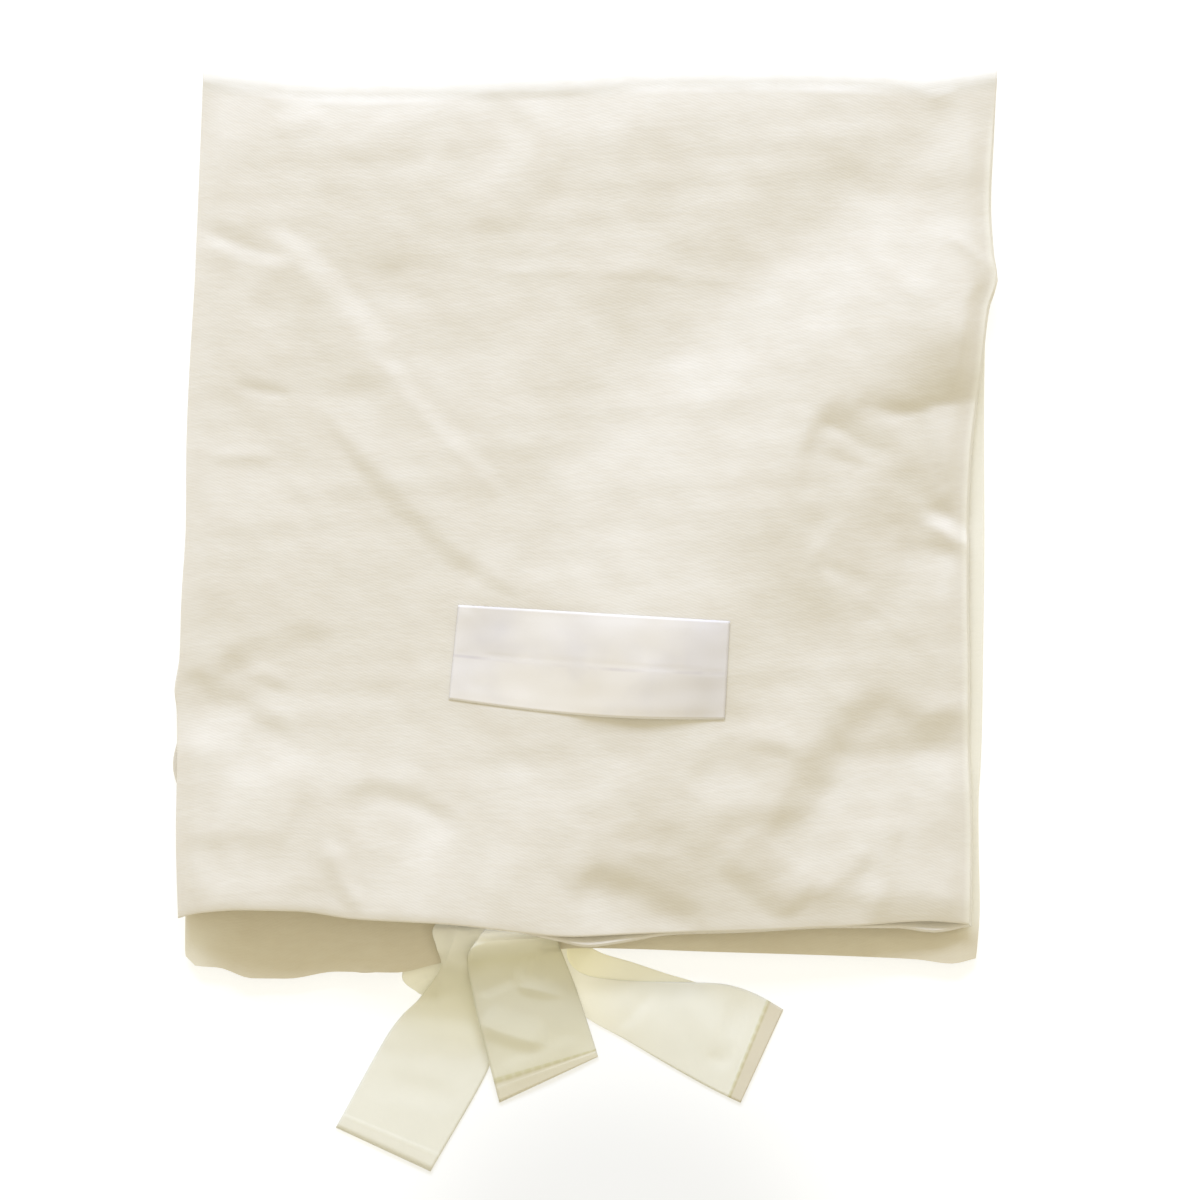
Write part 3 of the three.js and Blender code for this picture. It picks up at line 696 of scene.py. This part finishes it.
def shape(piece, i, j, places, flat_u, flat_v):
    """Moves a grid's vertices to their places, and gives it UVs in metres of flat cloth."""
    mesh = piece.data
    mesh.vertices.foreach_set("co", (places[j, i] * MM).astype(np.float32).ravel())
    corner = np.empty(len(mesh.loops), np.int32)
    mesh.loops.foreach_get("vertex_index", corner)
    flat = np.stack([flat_u[j, i], flat_v[j, i]], 1) * MM
    mesh.uv_layers[0].name = "cloth"
    mesh.uv_layers[0].data.foreach_set("uv", flat[corner].astype(np.float32).ravel())
    mesh.update()


def thicken(piece, thickness, rim, rim_share, flip):
    """Gives a shaped grid its thickness away from its normals, thinner on its rim."""
    if flip:
        bpy.ops.object.mode_set(mode="EDIT")
        bpy.ops.mesh.select_all(action="SELECT")
        bpy.ops.mesh.flip_normals()
        bpy.ops.object.mode_set(mode="OBJECT")
    group = piece.vertex_groups.new(name="full")
    for weight in np.unique(rim):
        members = np.flatnonzero(rim == weight).tolist()
        group.add(members, mix(rim_share, 1.0, float(weight)), "REPLACE")
    solid = piece.modifiers.new("thickness", "SOLIDIFY")
    solid.thickness = thickness * MM
    solid.offset = -1
    solid.vertex_group = group.name
    solid.thickness_vertex_group = 0
    bpy.ops.object.modifier_apply(modifier=solid.name)
    piece.vertex_groups.clear()
    bpy.ops.object.shade_smooth()


def flat_lengths(places):
    """Distance walked over the cloth from its middle column and from its first row."""
    down = np.linalg.norm(np.diff(places, axis=0), axis=2)
    across = np.linalg.norm(np.diff(places, axis=1), axis=2)
    v = np.vstack([np.zeros(places.shape[1]), np.cumsum(down, axis=0)])
    u = np.hstack([np.zeros((places.shape[0], 1)), np.cumsum(across, axis=1)])
    half = places.shape[1] // 2
    return u - u[:, half:half + 1] + FLAT_MIDDLE, np.repeat(v[:, half:half + 1], places.shape[1], axis=1)


def fold_round(x):
    """Radius of the bend at the fold, and the line of its centre."""
    radius = (flap_height(x, fold_top(x) - CORE, False) + SOLID_CLOTH) / 2
    return radius, fold_top(x) - BEND_STRETCH * radius


def mouth_half(u, cells, power, mouth, low):
    """A panel's lower half, whose rows a power over 1 draws together at the mouth."""
    way = (np.arange(cells + 1) / cells)[:, None] ** power
    level = mix(MOUTH_Y, FOLD_Y, way)
    left, right = lower_left(level), lower_right(level)
    x = mix(left, right, u)
    y = mix(mouth(x), fold_round(x)[1], way)
    above = y - MOUTH_Y
    # painted light: the mouth's left corner and the strip along the right edge get a lighter tint and a glow
    corner = CORNER_GLOW * smooth(CORNER_WIDTH, 0, x - left) * smooth(CORNER_TOP, CORNER_FULL, above)
    strip = smooth(EDGE_GLOW, FULL_WIDTH * EDGE_GLOW, right - x) * smooth(STRIP_START, STRIP_FULL, above)
    places = np.stack([x, y, low(x, y, np.minimum(x - left, right - x))], 2)
    return places, np.maximum(strip, corner), np.zeros_like(x)


def fold_bend(u, cells, inset, side):
    """The part of a panel that goes round the fold."""
    left, right = lower_left(FOLD_Y), lower_right(FOLD_Y)
    x = np.repeat(mix(left, right, u), cells - 1, axis=0)
    turn = math.pi * (np.arange(1, cells)[:, None] / cells - 0.5)
    radius, centre = fold_round(x)
    edge = np.minimum(x - left, right - x)
    reach = radius - inset(edge) - rolled(edge) * side
    out = reach + (BEND_STRETCH - 1) * radius
    places = np.stack([x, centre + out * np.cos(turn), radius + reach * np.sin(turn)], 2)
    return places, np.zeros_like(x), np.ones_like(x)


def upper_half(u, cells, end, high, peep):
    """A panel's upper half, from the fold to its free end."""
    way = spaced(cells, HALF_LENGTH)[RIM_CELLS:][:, None]
    way = (way - way[0]) / (1 - way[0])
    level = mix(FOLD_Y, END_Y, way)
    left = upper_left(level)
    right = upper_right(level) + peep * smooth(0, FOLD_REACH, FOLD_Y - level)
    x = mix(left, right, u)
    y = mix(fold_round(x)[1], end(x), way)
    edge = np.minimum(np.minimum(x - left, right - x), y - end(x))
    places = np.stack([x, y, high(x, y, edge)], 2)
    # painted light: the rim along the right edge
    rim = smooth(RIM_WIDTH, FULL_WIDTH * RIM_WIDTH, right - x) * smooth(0, FOLD_REACH, FOLD_Y - y)
    # painted shade on the crest of the fold
    return places, RIM_GLOW * rim, smooth(CREST_FADE, CREST_WIDTH, fold_top(x) - y)


def panel(name, cells, power, mouth, end, low, high, inset, peep, side, flip):
    """A panel's back-and-forth section: mouth half, bend round the fold, upper half.
    low and high give the shown surface of the two halves, inset how far inside the bend the panel lies,
    and side is 1 for the outer panel and -1 for the inner one."""
    u = spaced(cells["across"], PANEL_WIDTH)[None, :]
    parts = [
        mouth_half(u, cells["lower"], power, mouth, low),
        fold_bend(u, cells["bend"], inset, side),
        upper_half(u, cells["upper"], end, high, peep),
    ]
    places, glow, crest = (np.concatenate(kind) for kind in zip(*parts))
    across, along = places.shape[1] - 1, places.shape[0] - 1
    piece, i, j = new_grid(name, across, along)
    shape(piece, i, j, places, *flat_lengths(places))
    # painted light along the edges, which the material reads
    paint(piece, "edge_glow", glow[j, i])
    # painted shade on the fold's crest
    paint(piece, "crest", crest[j, i])
    rim = np.sqrt(np.clip(from_rim(i, j, across, along) / RIM_CELLS, 0, 1))
    thicken(piece, CLOTH, rim, RIM_SHARE, flip)
    return piece


def front_low(x, y, edge):
    """Underside of the front panel's lower half, which lies on the table."""
    return rolled(edge)


def front_high(x, y, edge):
    """Top of the front panel's upper half, which the camera sees."""
    return flap_height(x, y) + SOLID_CLOTH - rolled(edge)


def front_inset(edge):
    """The front panel goes round the outside of the bend."""
    return 0


def back_low(x, y, edge):
    """Top of the back panel's lower half, drawn down onto the front panel at the side seams."""
    free = mouth_height(x, y) + SOLID_CLOTH
    seam = 2 * CLOTH + SEAM_GAP
    return mix(seam, free, smooth(0, SEAM_CLOSE, edge)) - rolled(edge)


def back_high(x, y, edge):
    """Underside of the back panel's upper half, drawn up to the front panel at its seams."""
    free = flap_back_height(x, y) + SOLID_CLOTH - CLOTH
    seam = flap_height(x, y) + SOLID_CLOTH - 2 * CLOTH - SEAM_GAP
    return mix(seam, free, smooth(0, SEAM_CLOSE, edge)) + rolled(edge)


def back_inset(edge):
    """How far inside the front panel the back panel goes round the bend."""
    closed = 2 * CLOTH + SEAM_GAP
    free = 2 * SOLID_CLOTH + NEST
    return mix(closed, free, smooth(0, SEAM_CLOSE, edge))


def catmull(points, t):
    """Points of a smooth curve through the given ones, for t from 0 to 1."""
    padded = np.vstack([2 * points[0] - points[1], points, 2 * points[-1] - points[-2]])
    at = t * (len(points) - 1)
    k = np.clip(np.floor(at).astype(int), 0, len(points) - 2)
    s = (at - k)[:, None]
    a, b, c, d = (padded[k + n] for n in range(4))
    square = 2 * a - 5 * b + 4 * c - d
    cube = 3 * b - a - 3 * c + d
    return 0.5 * (2 * b + (c - a) * s + square * s ** 2 + cube * s ** 3)


def along_tie(rows, column, t):
    """A column's value at places along a tie."""
    return np.interp(t * (len(rows) - 1), np.arange(len(rows)), [row[column] for row in rows])


def tie_surface(rows, creases, t, s):
    """Top of a tie's ribbon at places along it (t) and across it (s)."""
    left = catmull(np.array([(r["lx"], r["ly"], r["lz"]) for r in rows], float), t)
    right = catmull(np.array([(r["rx"], r["ry"], r["rz"]) for r in rows], float), t)
    places = left[:, None, :] + (right - left)[:, None, :] * s[None, :, None]
    places[:, :, 2] += along_tie(rows, "crown", t)[:, None] * np.sin(math.pi * s)[None, :]
    places[:, :, 2] += crease_heights(creases, places[:, :, 0], places[:, :, 1])
    places[:, :, 2] = np.maximum(places[:, :, 2], 0) + TAPE
    return places


def tie(name, rows, creases, hemmed):
    """A ribbon with a turned end, which stands a little higher there, or a plain one."""
    across, along = RIBBON_CELLS
    s = np.linspace(0, 1, across + 1)
    t = np.linspace(0, 1, along + 1)
    if hemmed:
        last = math.hypot(rows[-1]["lx"] - rows[-2]["lx"], rows[-1]["ly"] - rows[-2]["ly"])
        hem_start = 1 - RIBBON_HEM / last / (len(rows) - 1)
        step = HEM_STEP / last / (len(rows) - 1)
        t = np.sort(np.append(t, [hem_start - step, hem_start, hem_start + step]))
    places = tie_surface(rows, creases, t, s)
    if hemmed:
        places[:, :, 2] += HEM_RISE * smooth(hem_start - step, hem_start + step, t)[:, None]
    flat_u, flat_v = flat_lengths(places)
    past_end = 0 if hemmed else PLAIN_END
    piece, i, j = new_grid(name + "_ribbon", across, len(t) - 1)
    shape(piece, i, j, places, flat_u - FLAT_MIDDLE, flat_v - flat_v[-1:] - past_end)
    for column in ("ochre", "glow", "dim"):
        paint(piece, column, along_tie(rows, column, t)[j])
    paint(piece, "turned", np.full(len(j), TURNED.get(name, 0)))
    thicken(piece, TAPE, np.ones(len(i)), 1.0, True)
    return piece


def paint(piece, name, values):
    """A value for each vertex that the material reads."""
    layer = piece.data.attributes.new(name, "FLOAT", "POINT")
    layer.data.foreach_set("value", values.astype(np.float32))


def join(piece, other):
    """Two closed parts of one ribbon as one object."""
    bpy.ops.object.select_all(action="DESELECT")
    other.select_set(True)
    piece.select_set(True)
    bpy.context.view_layer.objects.active = piece
    bpy.ops.object.join()


def label():
    """A thin patch whose lower edge stands off between its corner stitches."""
    across, along = LABEL_CELLS
    low_left, low_right, high_right, high_left = (np.array([c["x"], c["y"]], float) for c in LABEL_CORNERS)
    u = np.linspace(0, 1, across + 1)[None, :, None]
    v = np.linspace(0, 1, along + 1)[:, None, None]
    spot = mix(mix(low_left, low_right, u), mix(high_left, high_right, u), v)
    u, v = u[:, :, 0], v[:, :, 0]
    x = spot[:, :, 0]
    y = spot[:, :, 1] - LABEL_SAG * np.sin(math.pi * u) * (1 - v)
    lift = LABEL_LIFT * np.exp(-(((u - LIFT_AT) / LIFT_WIDTH) ** 2)) * (1 - v) ** 2
    inside = np.minimum(np.minimum(u, 1 - u) * LABEL_RATIO, np.minimum(v, 1 - v))
    waves = LABEL_EASE * smooth(0, LABEL_BORDER, inside) + crease_heights(LABEL_CREASES, x, y)
    z = flap_height(x, y) + SOLID_CLOTH + LABEL_CLEAR + SATIN + lift + np.maximum(waves, 0)
    places = np.stack([x, y, z], 2)
    piece, i, j = new_grid("label_patch", across, along)
    shape(piece, i, j, places, *flat_lengths(places))
    grey = np.zeros_like(z)
    for row in LABEL_GREYS:
        away = np.hypot((u - row["u"]) / row["across"], (v - row["v"]) / row["along"])
        grey += row["depth"] * np.exp(-away ** 2)
    paint(piece, "grey", np.clip(grey, 0, 1)[j, i])
    rim = np.clip(from_rim(i, j, across, along), 0, 1).astype(float)
    thicken(piece, SATIN, rim, RIM_SHARE, False)
    return piece


# Colours of the finishes
WHITE = (1, 1, 1, 1)
TWILL_DARK = (0.80, 0.742, 0.625, 1)
TWILL_LIGHT = (0.86, 0.817, 0.718, 1)
TWILL_THROUGH = (0.97, 0.93, 0.78, 1)
RIBBON_DARK = (0.895, 0.875, 0.75, 1)
RIBBON_LIGHT = (0.95, 0.93, 0.81, 1)
RIBBON_YELLOW_LIGHT = (0.925, 0.895, 0.71, 1)
RIBBON_DIM = (0.89, 0.895, 0.92, 1)
RIBBON_TURNED = (0.90, 0.86, 0.80, 1)
STITCH_AND_SHADE_TINT = (0.87, 0.86, 0.72, 1)
SATIN_WHITE = (0.835, 0.79, 0.715, 1)
SATIN_GREY = (0.735, 0.70, 0.675, 1)
SATIN_PRESSED_SHADE = (0.88, 0.87, 0.90, 1)
SELVEDGE_TINT = (0.90, 0.87, 0.82, 1)

# The twill's ribs and nap, and the scale of each finish's grain and clouds
RIB_PITCH = 0.76
RIB_ANGLE = 23
RIB_WAVER = 1.6
NAP_SHARE = 0.88  # part of the relief that is nap, not ribs
NAP_STRETCH = 0.28
TWILL_GRAIN, TWILL_CLOUD = 700, 60
RIBBON_GRAIN, RIBBON_CLOUD = 900, 110
SATIN_GRAIN, SATIN_CLOUD = 1400, 90

# Depth of the fine relief, in millimetres, and share of the light that passes through the cloth
TWILL_RELIEF, RIBBON_RELIEF, SATIN_RELIEF = 0.14, 0.04, 0.02
TWILL_PASSES, RIBBON_PASSES = 0.12, 0.28


def material(name, roughness, sheen=0.0):
    """A new material, with its node tree and its main shader."""
    mat = bpy.data.materials.new(name)
    mat.use_nodes = True
    shader = mat.node_tree.nodes["Principled BSDF"]
    shader.inputs["Roughness"].default_value = roughness
    shader.inputs["Sheen Weight"].default_value = sheen
    return mat, mat.node_tree, shader


def feed(socket, value):
    """Sets a socket to a number or a colour, or links a node's output to it."""
    if isinstance(value, (int, float, tuple)):
        socket.default_value = value
    else:
        socket.id_data.links.new(value, socket)


def maths(tree, operation, first, second=0):
    """A sum on one or two values."""
    node = tree.nodes.new("ShaderNodeMath")
    node.operation = operation
    feed(node.inputs[0], first)
    feed(node.inputs[1], second)
    return node.outputs["Value"]


def ramp(tree, value, start, end):
    """0 where a value is at start and 1 at end, with soft turns."""
    node = tree.nodes.new("ShaderNodeMapRange")
    node.interpolation_type = "SMOOTHSTEP"
    node.inputs["From Min"].default_value = start
    node.inputs["From Max"].default_value = end
    feed(node.inputs["Value"], value)
    return node.outputs["Result"]


def shared(tree, share, first, second):
    """A share of the second value and the rest of the first."""
    node = tree.nodes.new("ShaderNodeMix")
    feed(node.inputs["Factor"], share)
    feed(node.inputs["A"], first)
    feed(node.inputs["B"], second)
    return node.outputs["Result"]


def blended(tree, kind, factor, first, second):
    """A colour mixed into another one or multiplied with it, by a factor."""
    node = tree.nodes.new("ShaderNodeMix")
    node.data_type = "RGBA"
    node.blend_type = kind
    feed(node.inputs["Factor"], factor)
    feed(node.inputs["A"], first)
    feed(node.inputs["B"], second)
    return node.outputs["Result"]


def painted(tree, name):
    """A value that was painted on the vertices."""
    node = tree.nodes.new("ShaderNodeAttribute")
    node.attribute_name = name
    return node.outputs["Fac"]


def flat_place(tree):
    """The place on the flat cloth, as one vector and as its lengths across and along."""
    uv = tree.nodes.new("ShaderNodeUVMap")
    uv.uv_map = "cloth"
    split = tree.nodes.new("ShaderNodeSeparateXYZ")
    feed(split.inputs["Vector"], uv.outputs["UV"])
    return uv.outputs["UV"], split.outputs["X"], split.outputs["Y"]


def moved(tree, place, socket, amount):
    """A place with a pattern's own rotation or scale."""
    node = tree.nodes.new("ShaderNodeMapping")
    node.inputs[socket].default_value = amount
    feed(node.inputs["Vector"], place)
    return node.outputs["Vector"]


def noise(tree, place, scale, detail, roughness=0.5):
    """Random grain or clouds."""
    node = tree.nodes.new("ShaderNodeTexNoise")
    node.inputs["Scale"].default_value = scale
    node.inputs["Detail"].default_value = detail
    node.inputs["Roughness"].default_value = roughness
    feed(node.inputs["Vector"], place)
    return node.outputs["Fac"]


def raised(tree, shader, height, depth, strength=0.5):
    """Gives a shader a fine relief, with its depth in millimetres."""
    node = tree.nodes.new("ShaderNodeBump")
    node.inputs["Strength"].default_value = strength
    node.inputs["Distance"].default_value = depth * MM
    feed(node.inputs["Height"], height)
    feed(shader.inputs["Normal"], node.outputs["Normal"])


def let_light_through(tree, shader, share, tint):
    """Mixes a share of light that passes through the cloth into its material."""
    through_cloth = tree.nodes.new("ShaderNodeBsdfTranslucent")
    feed(through_cloth.inputs["Color"], tint)
    both = tree.nodes.new("ShaderNodeMixShader")
    both.inputs["Fac"].default_value = share
    feed(both.inputs[1], shader.outputs["BSDF"])
    feed(both.inputs[2], through_cloth.outputs["BSDF"])
    feed(tree.nodes["Material Output"].inputs["Surface"], both.outputs["Shader"])


def diagonal_ribs(tree, place):
    """The ribs of a twill, which lean and waver a little."""
    node = tree.nodes.new("ShaderNodeTexWave")
    node.inputs["Scale"].default_value = 2 * math.pi / 20 / (RIB_PITCH * MM)
    node.inputs["Distortion"].default_value = RIB_WAVER
    node.inputs["Detail"].default_value = 2.0
    node.inputs["Detail Scale"].default_value = RIB_WAVER
    turned = moved(tree, place, "Rotation", (0, 0, math.radians(90 - RIB_ANGLE)))
    feed(node.inputs["Vector"], turned)
    return node.outputs["Fac"]


def twill_material():
    """Brushed cotton twill: soft diagonal ribs, a fuzzy nap and a faint unevenness of its dye, with painted
    shade on the mouth's hem and the fold's crest, and painted light on the glowing edges.
    """
    mat, tree, shader = material("brushed_twill", roughness=0.9, sheen=0.25)
    place, _, along = flat_place(tree)
    nap = noise(tree, moved(tree, place, "Scale", (NAP_STRETCH, 1, 1)), TWILL_GRAIN, 3, 0.6)
    height = shared(tree, NAP_SHARE, diagonal_ribs(tree, place), nap)
    tone = shared(tree, 0.5, height, noise(tree, place, TWILL_CLOUD, 4))
    dye = tree.nodes.new("ShaderNodeValToRGB")
    for stop, position, colour in zip(dye.color_ramp.elements, (0.3, 0.7), (TWILL_DARK, TWILL_LIGHT)):
        stop.position = position
        stop.color = colour
    feed(dye.inputs["Fac"], tone)
    # painted shade: the mouth's hem is tinted darker and yellower
    hem = ramp(tree, along, (MOUTH_HEM + HEM_BLEND) * MM, (MOUTH_HEM - HEM_BLEND) * MM)
    cloth = blended(tree, "MULTIPLY", hem, dye.outputs["Color"], HEM_SHADE_TINT)
    # painted light: a lighter tint and a faint glow on the edges
    edge = painted(tree, "edge_glow")
    cloth = blended(tree, "MIX", edge, cloth, EDGE_TINT)
    # painted shade: the crest of the fold is tinted less bright
    cloth = blended(tree, "MULTIPLY", painted(tree, "crest"), cloth, CREST_SHADE_TINT)
    feed(shader.inputs["Base Color"], cloth)
    feed(shader.inputs["Emission Color"], EDGE_LIGHT)
    feed(shader.inputs["Emission Strength"], maths(tree, "MULTIPLY", edge, EDGE_SHINE))
    raised(tree, shader, height, TWILL_RELIEF, 0.6)
    let_light_through(tree, shader, TWILL_PASSES, TWILL_THROUGH)
    return mat


def stitch_dashes(tree, across, along):
    """A dashed line of stitches where the turned end of a ribbon is sewn down, darkened also as painted
    shade at the hem's inner edge.
    """
    off_line = maths(tree, "ABSOLUTE", maths(tree, "ADD", along, RIBBON_HEM * MM))
    line = ramp(tree, off_line, (STITCH_LINE + 0.3) * MM, (STITCH_LINE - 0.3) * MM)
    beat = maths(tree, "SINE", maths(tree, "MULTIPLY", across, 2 * math.pi / (STITCH_PITCH * MM)))
    return maths(tree, "MULTIPLY", line, ramp(tree, beat, -3, 0.6))


def ribbon_material():
    """Thin ivory ribbon that lets light through, browner where it is turned over and stitched, with painted
    yellow light and a painted glow near the bag and painted shade where other cloth lies beneath.
    """
    mat, tree, shader = material("ivory_ribbon", roughness=0.6, sheen=0.1)
    place, across, along = flat_place(tree)
    turned = painted(tree, "turned")
    hem = ramp(tree, along, -(RIBBON_HEM + 0.2) * MM, -(RIBBON_HEM - 0.2) * MM)
    hem = maths(tree, "MULTIPLY", hem, turned)
    dashes = maths(tree, "MULTIPLY", stitch_dashes(tree, across, along), ramp(tree, turned, 0, 0.6))
    # painted light: a warmer yellow where the light comes through and between the layers
    marks_and_painted_light = blended(tree, "MIX", painted(tree, "ochre"), WHITE, RIBBON_YELLOW_LIGHT)
    # painted shade: dimmer where other cloth lies beneath and holds back the table's light
    marks_and_painted_light = blended(tree, "MULTIPLY", painted(tree, "dim"), marks_and_painted_light, RIBBON_DIM)
    marks_and_painted_light = blended(tree, "MULTIPLY", hem, marks_and_painted_light, RIBBON_TURNED)
    # stitches, darker also for painted shade at the hem's edge
    marks_and_painted_light = blended(tree, "MULTIPLY", dashes, marks_and_painted_light, STITCH_AND_SHADE_TINT)
    ivory = blended(tree, "MIX", noise(tree, place, RIBBON_CLOUD, 3), RIBBON_DARK, RIBBON_LIGHT)
    feed(shader.inputs["Base Color"], blended(tree, "MULTIPLY", 1.0, ivory, marks_and_painted_light))
    # painted light: a glow where light would shine through the ribbon near the bag
    feed(shader.inputs["Emission Color"], marks_and_painted_light)
    feed(shader.inputs["Emission Strength"], painted(tree, "glow"))
    raised(tree, shader, noise(tree, place, RIBBON_GRAIN, 2), RIBBON_RELIEF)
    let_light_through(tree, shader, RIBBON_PASSES, marks_and_painted_light)
    return mat


def satin_material():
    """Cool white woven satin, greyer in places, with a lighter lower selvedge and painted shade along a
    pressed line.
    """
    mat, tree, shader = material("label_satin", roughness=0.5)
    place, _, along = flat_place(tree)
    cloud = noise(tree, place, SATIN_CLOUD, 2)
    soft = maths(tree, "MULTIPLY", ramp(tree, cloud, 0.45, 0.75), 0.35)
    deep = maths(tree, "ADD", painted(tree, "grey"), soft)
    colour = blended(tree, "MIX", deep, SATIN_WHITE, SATIN_GREY)
    # painted shade along the pressed line
    off_line = maths(tree, "ABSOLUTE", maths(tree, "SUBTRACT", along, PRESSED_LINE * MM))
    line = ramp(tree, off_line, 0.75 * MM, 0.1 * MM)
    line = maths(tree, "MULTIPLY", line, ramp(tree, cloud, 0.65, 0.35))
    colour = blended(tree, "MULTIPLY", line, colour, SATIN_PRESSED_SHADE)
    low = ramp(tree, along, SELVEDGE * MM, (SELVEDGE - 0.3) * MM)
    colour = blended(tree, "MIX", low, colour, SELVEDGE_TINT)
    feed(shader.inputs["Base Color"], colour)
    raised(tree, shader, noise(tree, place, SATIN_GRAIN, 1), SATIN_RELIEF)
    return mat


# The lit table: its light away from the ties, a painted shadow below them where it gives less light, and
# where, in metres
TABLE_GREY = (0.5, 0.5, 0.49, 1)
TABLE_LIGHT = (1, 1, 0.985, 1)
DIM_STRENGTH = 0.41
MORE_AWAY = 0.22
DIM_PLACE = (0.01, -0.19, 0)
DIM_REACH = (0.03, 0.10)


def floor_material():
    """A bright lit table, with a painted shadow below the ties where it is a little dimmer."""
    mat, tree, shader = material("pale_floor", roughness=0.9)
    place = tree.nodes.new("ShaderNodeTexCoord")
    away = tree.nodes.new("ShaderNodeVectorMath")
    away.operation = "DISTANCE"
    away.inputs[1].default_value = DIM_PLACE
    feed(away.inputs[0], place.outputs["Object"])
    # painted shadow: the table gives less light near the ties
    more = maths(tree, "MULTIPLY", ramp(tree, away.outputs["Value"], *DIM_REACH), MORE_AWAY)
    feed(shader.inputs["Base Color"], TABLE_GREY)
    feed(shader.inputs["Emission Color"], TABLE_LIGHT)
    feed(shader.inputs["Emission Strength"], maths(tree, "ADD", more, DIM_STRENGTH))
    return mat


def wear(piece, mat):
    """Gives a piece its one material."""
    piece.data.materials.clear()
    piece.data.materials.append(mat)


# Camera, straight above, with the photograph's frame on the level of the cloth
VIEW_CENTRE = (4.43, 5.71)
VIEW_WIDTH = 342.9
VIEW_LEVEL = 5.0
LENS = 200.0
SENSOR = 36.0
EYE_LEVEL = VIEW_LEVEL + VIEW_WIDTH * LENS / SENSOR
eye = bpy.data.cameras.new("camera")
eye.lens = LENS
eye.sensor_width = SENSOR
eye.clip_end = 20
camera = bpy.data.objects.new("camera", eye)
camera.location = (VIEW_CENTRE[0] * MM, VIEW_CENTRE[1] * MM, EYE_LEVEL * MM)
bpy.context.scene.collection.objects.link(camera)
bpy.context.scene.camera = camera
bpy.context.scene.view_settings.view_transform = "Standard"

# Pieces
twill = twill_material()
ribbon = ribbon_material()
satin = satin_material()

front = panel(
    "front_panel_cloth", {"across": 176, "lower": 44, "bend": 16, "upper": 194}, 1.3, front_mouth, front_end,
    front_low, front_high, front_inset, 0, 1, True)
back = panel(
    "back_panel_cloth", {"across": 120, "lower": 90, "bend": 12, "upper": 80}, 1.8, back_mouth, back_end,
    back_low, back_high, back_inset, SEAM_PEEP, -1, False)
for piece, node in ((front, "front_panel"), (back, "back_panel")):
    wear(piece, twill)
    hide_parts(node)
    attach(piece, "root")

patch = label()
wear(patch, satin)
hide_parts("label")
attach(patch, "root")

# The ties, each a ribbon whose UVs give lengths across and along its flat cloth in metres, with the right
# tie's doubled part joined on
for name, rows in TIES.items():
    piece = tie(name, rows, TIE_CREASES[name], name != "tie_tucked")
    if name == "tie_right":
        join(piece, tie("doubled", DOUBLED, [], False))
    wear(piece, ribbon)
    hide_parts(name)
    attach(piece, "root")

# Floor and light
bpy.ops.object.select_all(action="DESELECT")
bpy.ops.mesh.primitive_plane_add(size=6, location=(0, 0, -0.05 * MM))
floor = bpy.context.object
floor.name = "floor"
wear(floor, floor_material())

ROOM_TINT = (1.0, 0.94, 0.76, 1)
ROOM_LIGHT = 0.77
world = bpy.data.worlds.new("soft_room")
bpy.context.scene.world = world
world.use_nodes = True
room = world.node_tree.nodes["Background"]
room.inputs["Color"].default_value = ROOM_TINT
room.inputs["Strength"].default_value = ROOM_LIGHT


def soft_light(name, place, size, power, tint):
    """A rectangular lamp that shines at the middle of the bag."""
    lamp = bpy.data.lights.new(name, "AREA")
    lamp.color = tint
    lamp.shape = "RECTANGLE"
    lamp.size, lamp.size_y = size
    lamp.energy = power
    holder = bpy.data.objects.new(name, lamp)
    holder.location = place
    aside = math.hypot(place[0], place[1])
    holder.rotation_euler = (math.atan2(aside, place[2]), 0, math.atan2(place[0], -place[1]))
    bpy.context.scene.collection.objects.link(holder)


WINDOW_PLACE = (-0.12, 1.53, 0.745)
WINDOW_SIZE = (1.6, 0.5)
WINDOW_POWER = 36
WINDOW_TINT = (0.60, 0.70, 1.0)
soft_light("side_window", WINDOW_PLACE, WINDOW_SIZE, WINDOW_POWER, WINDOW_TINT)
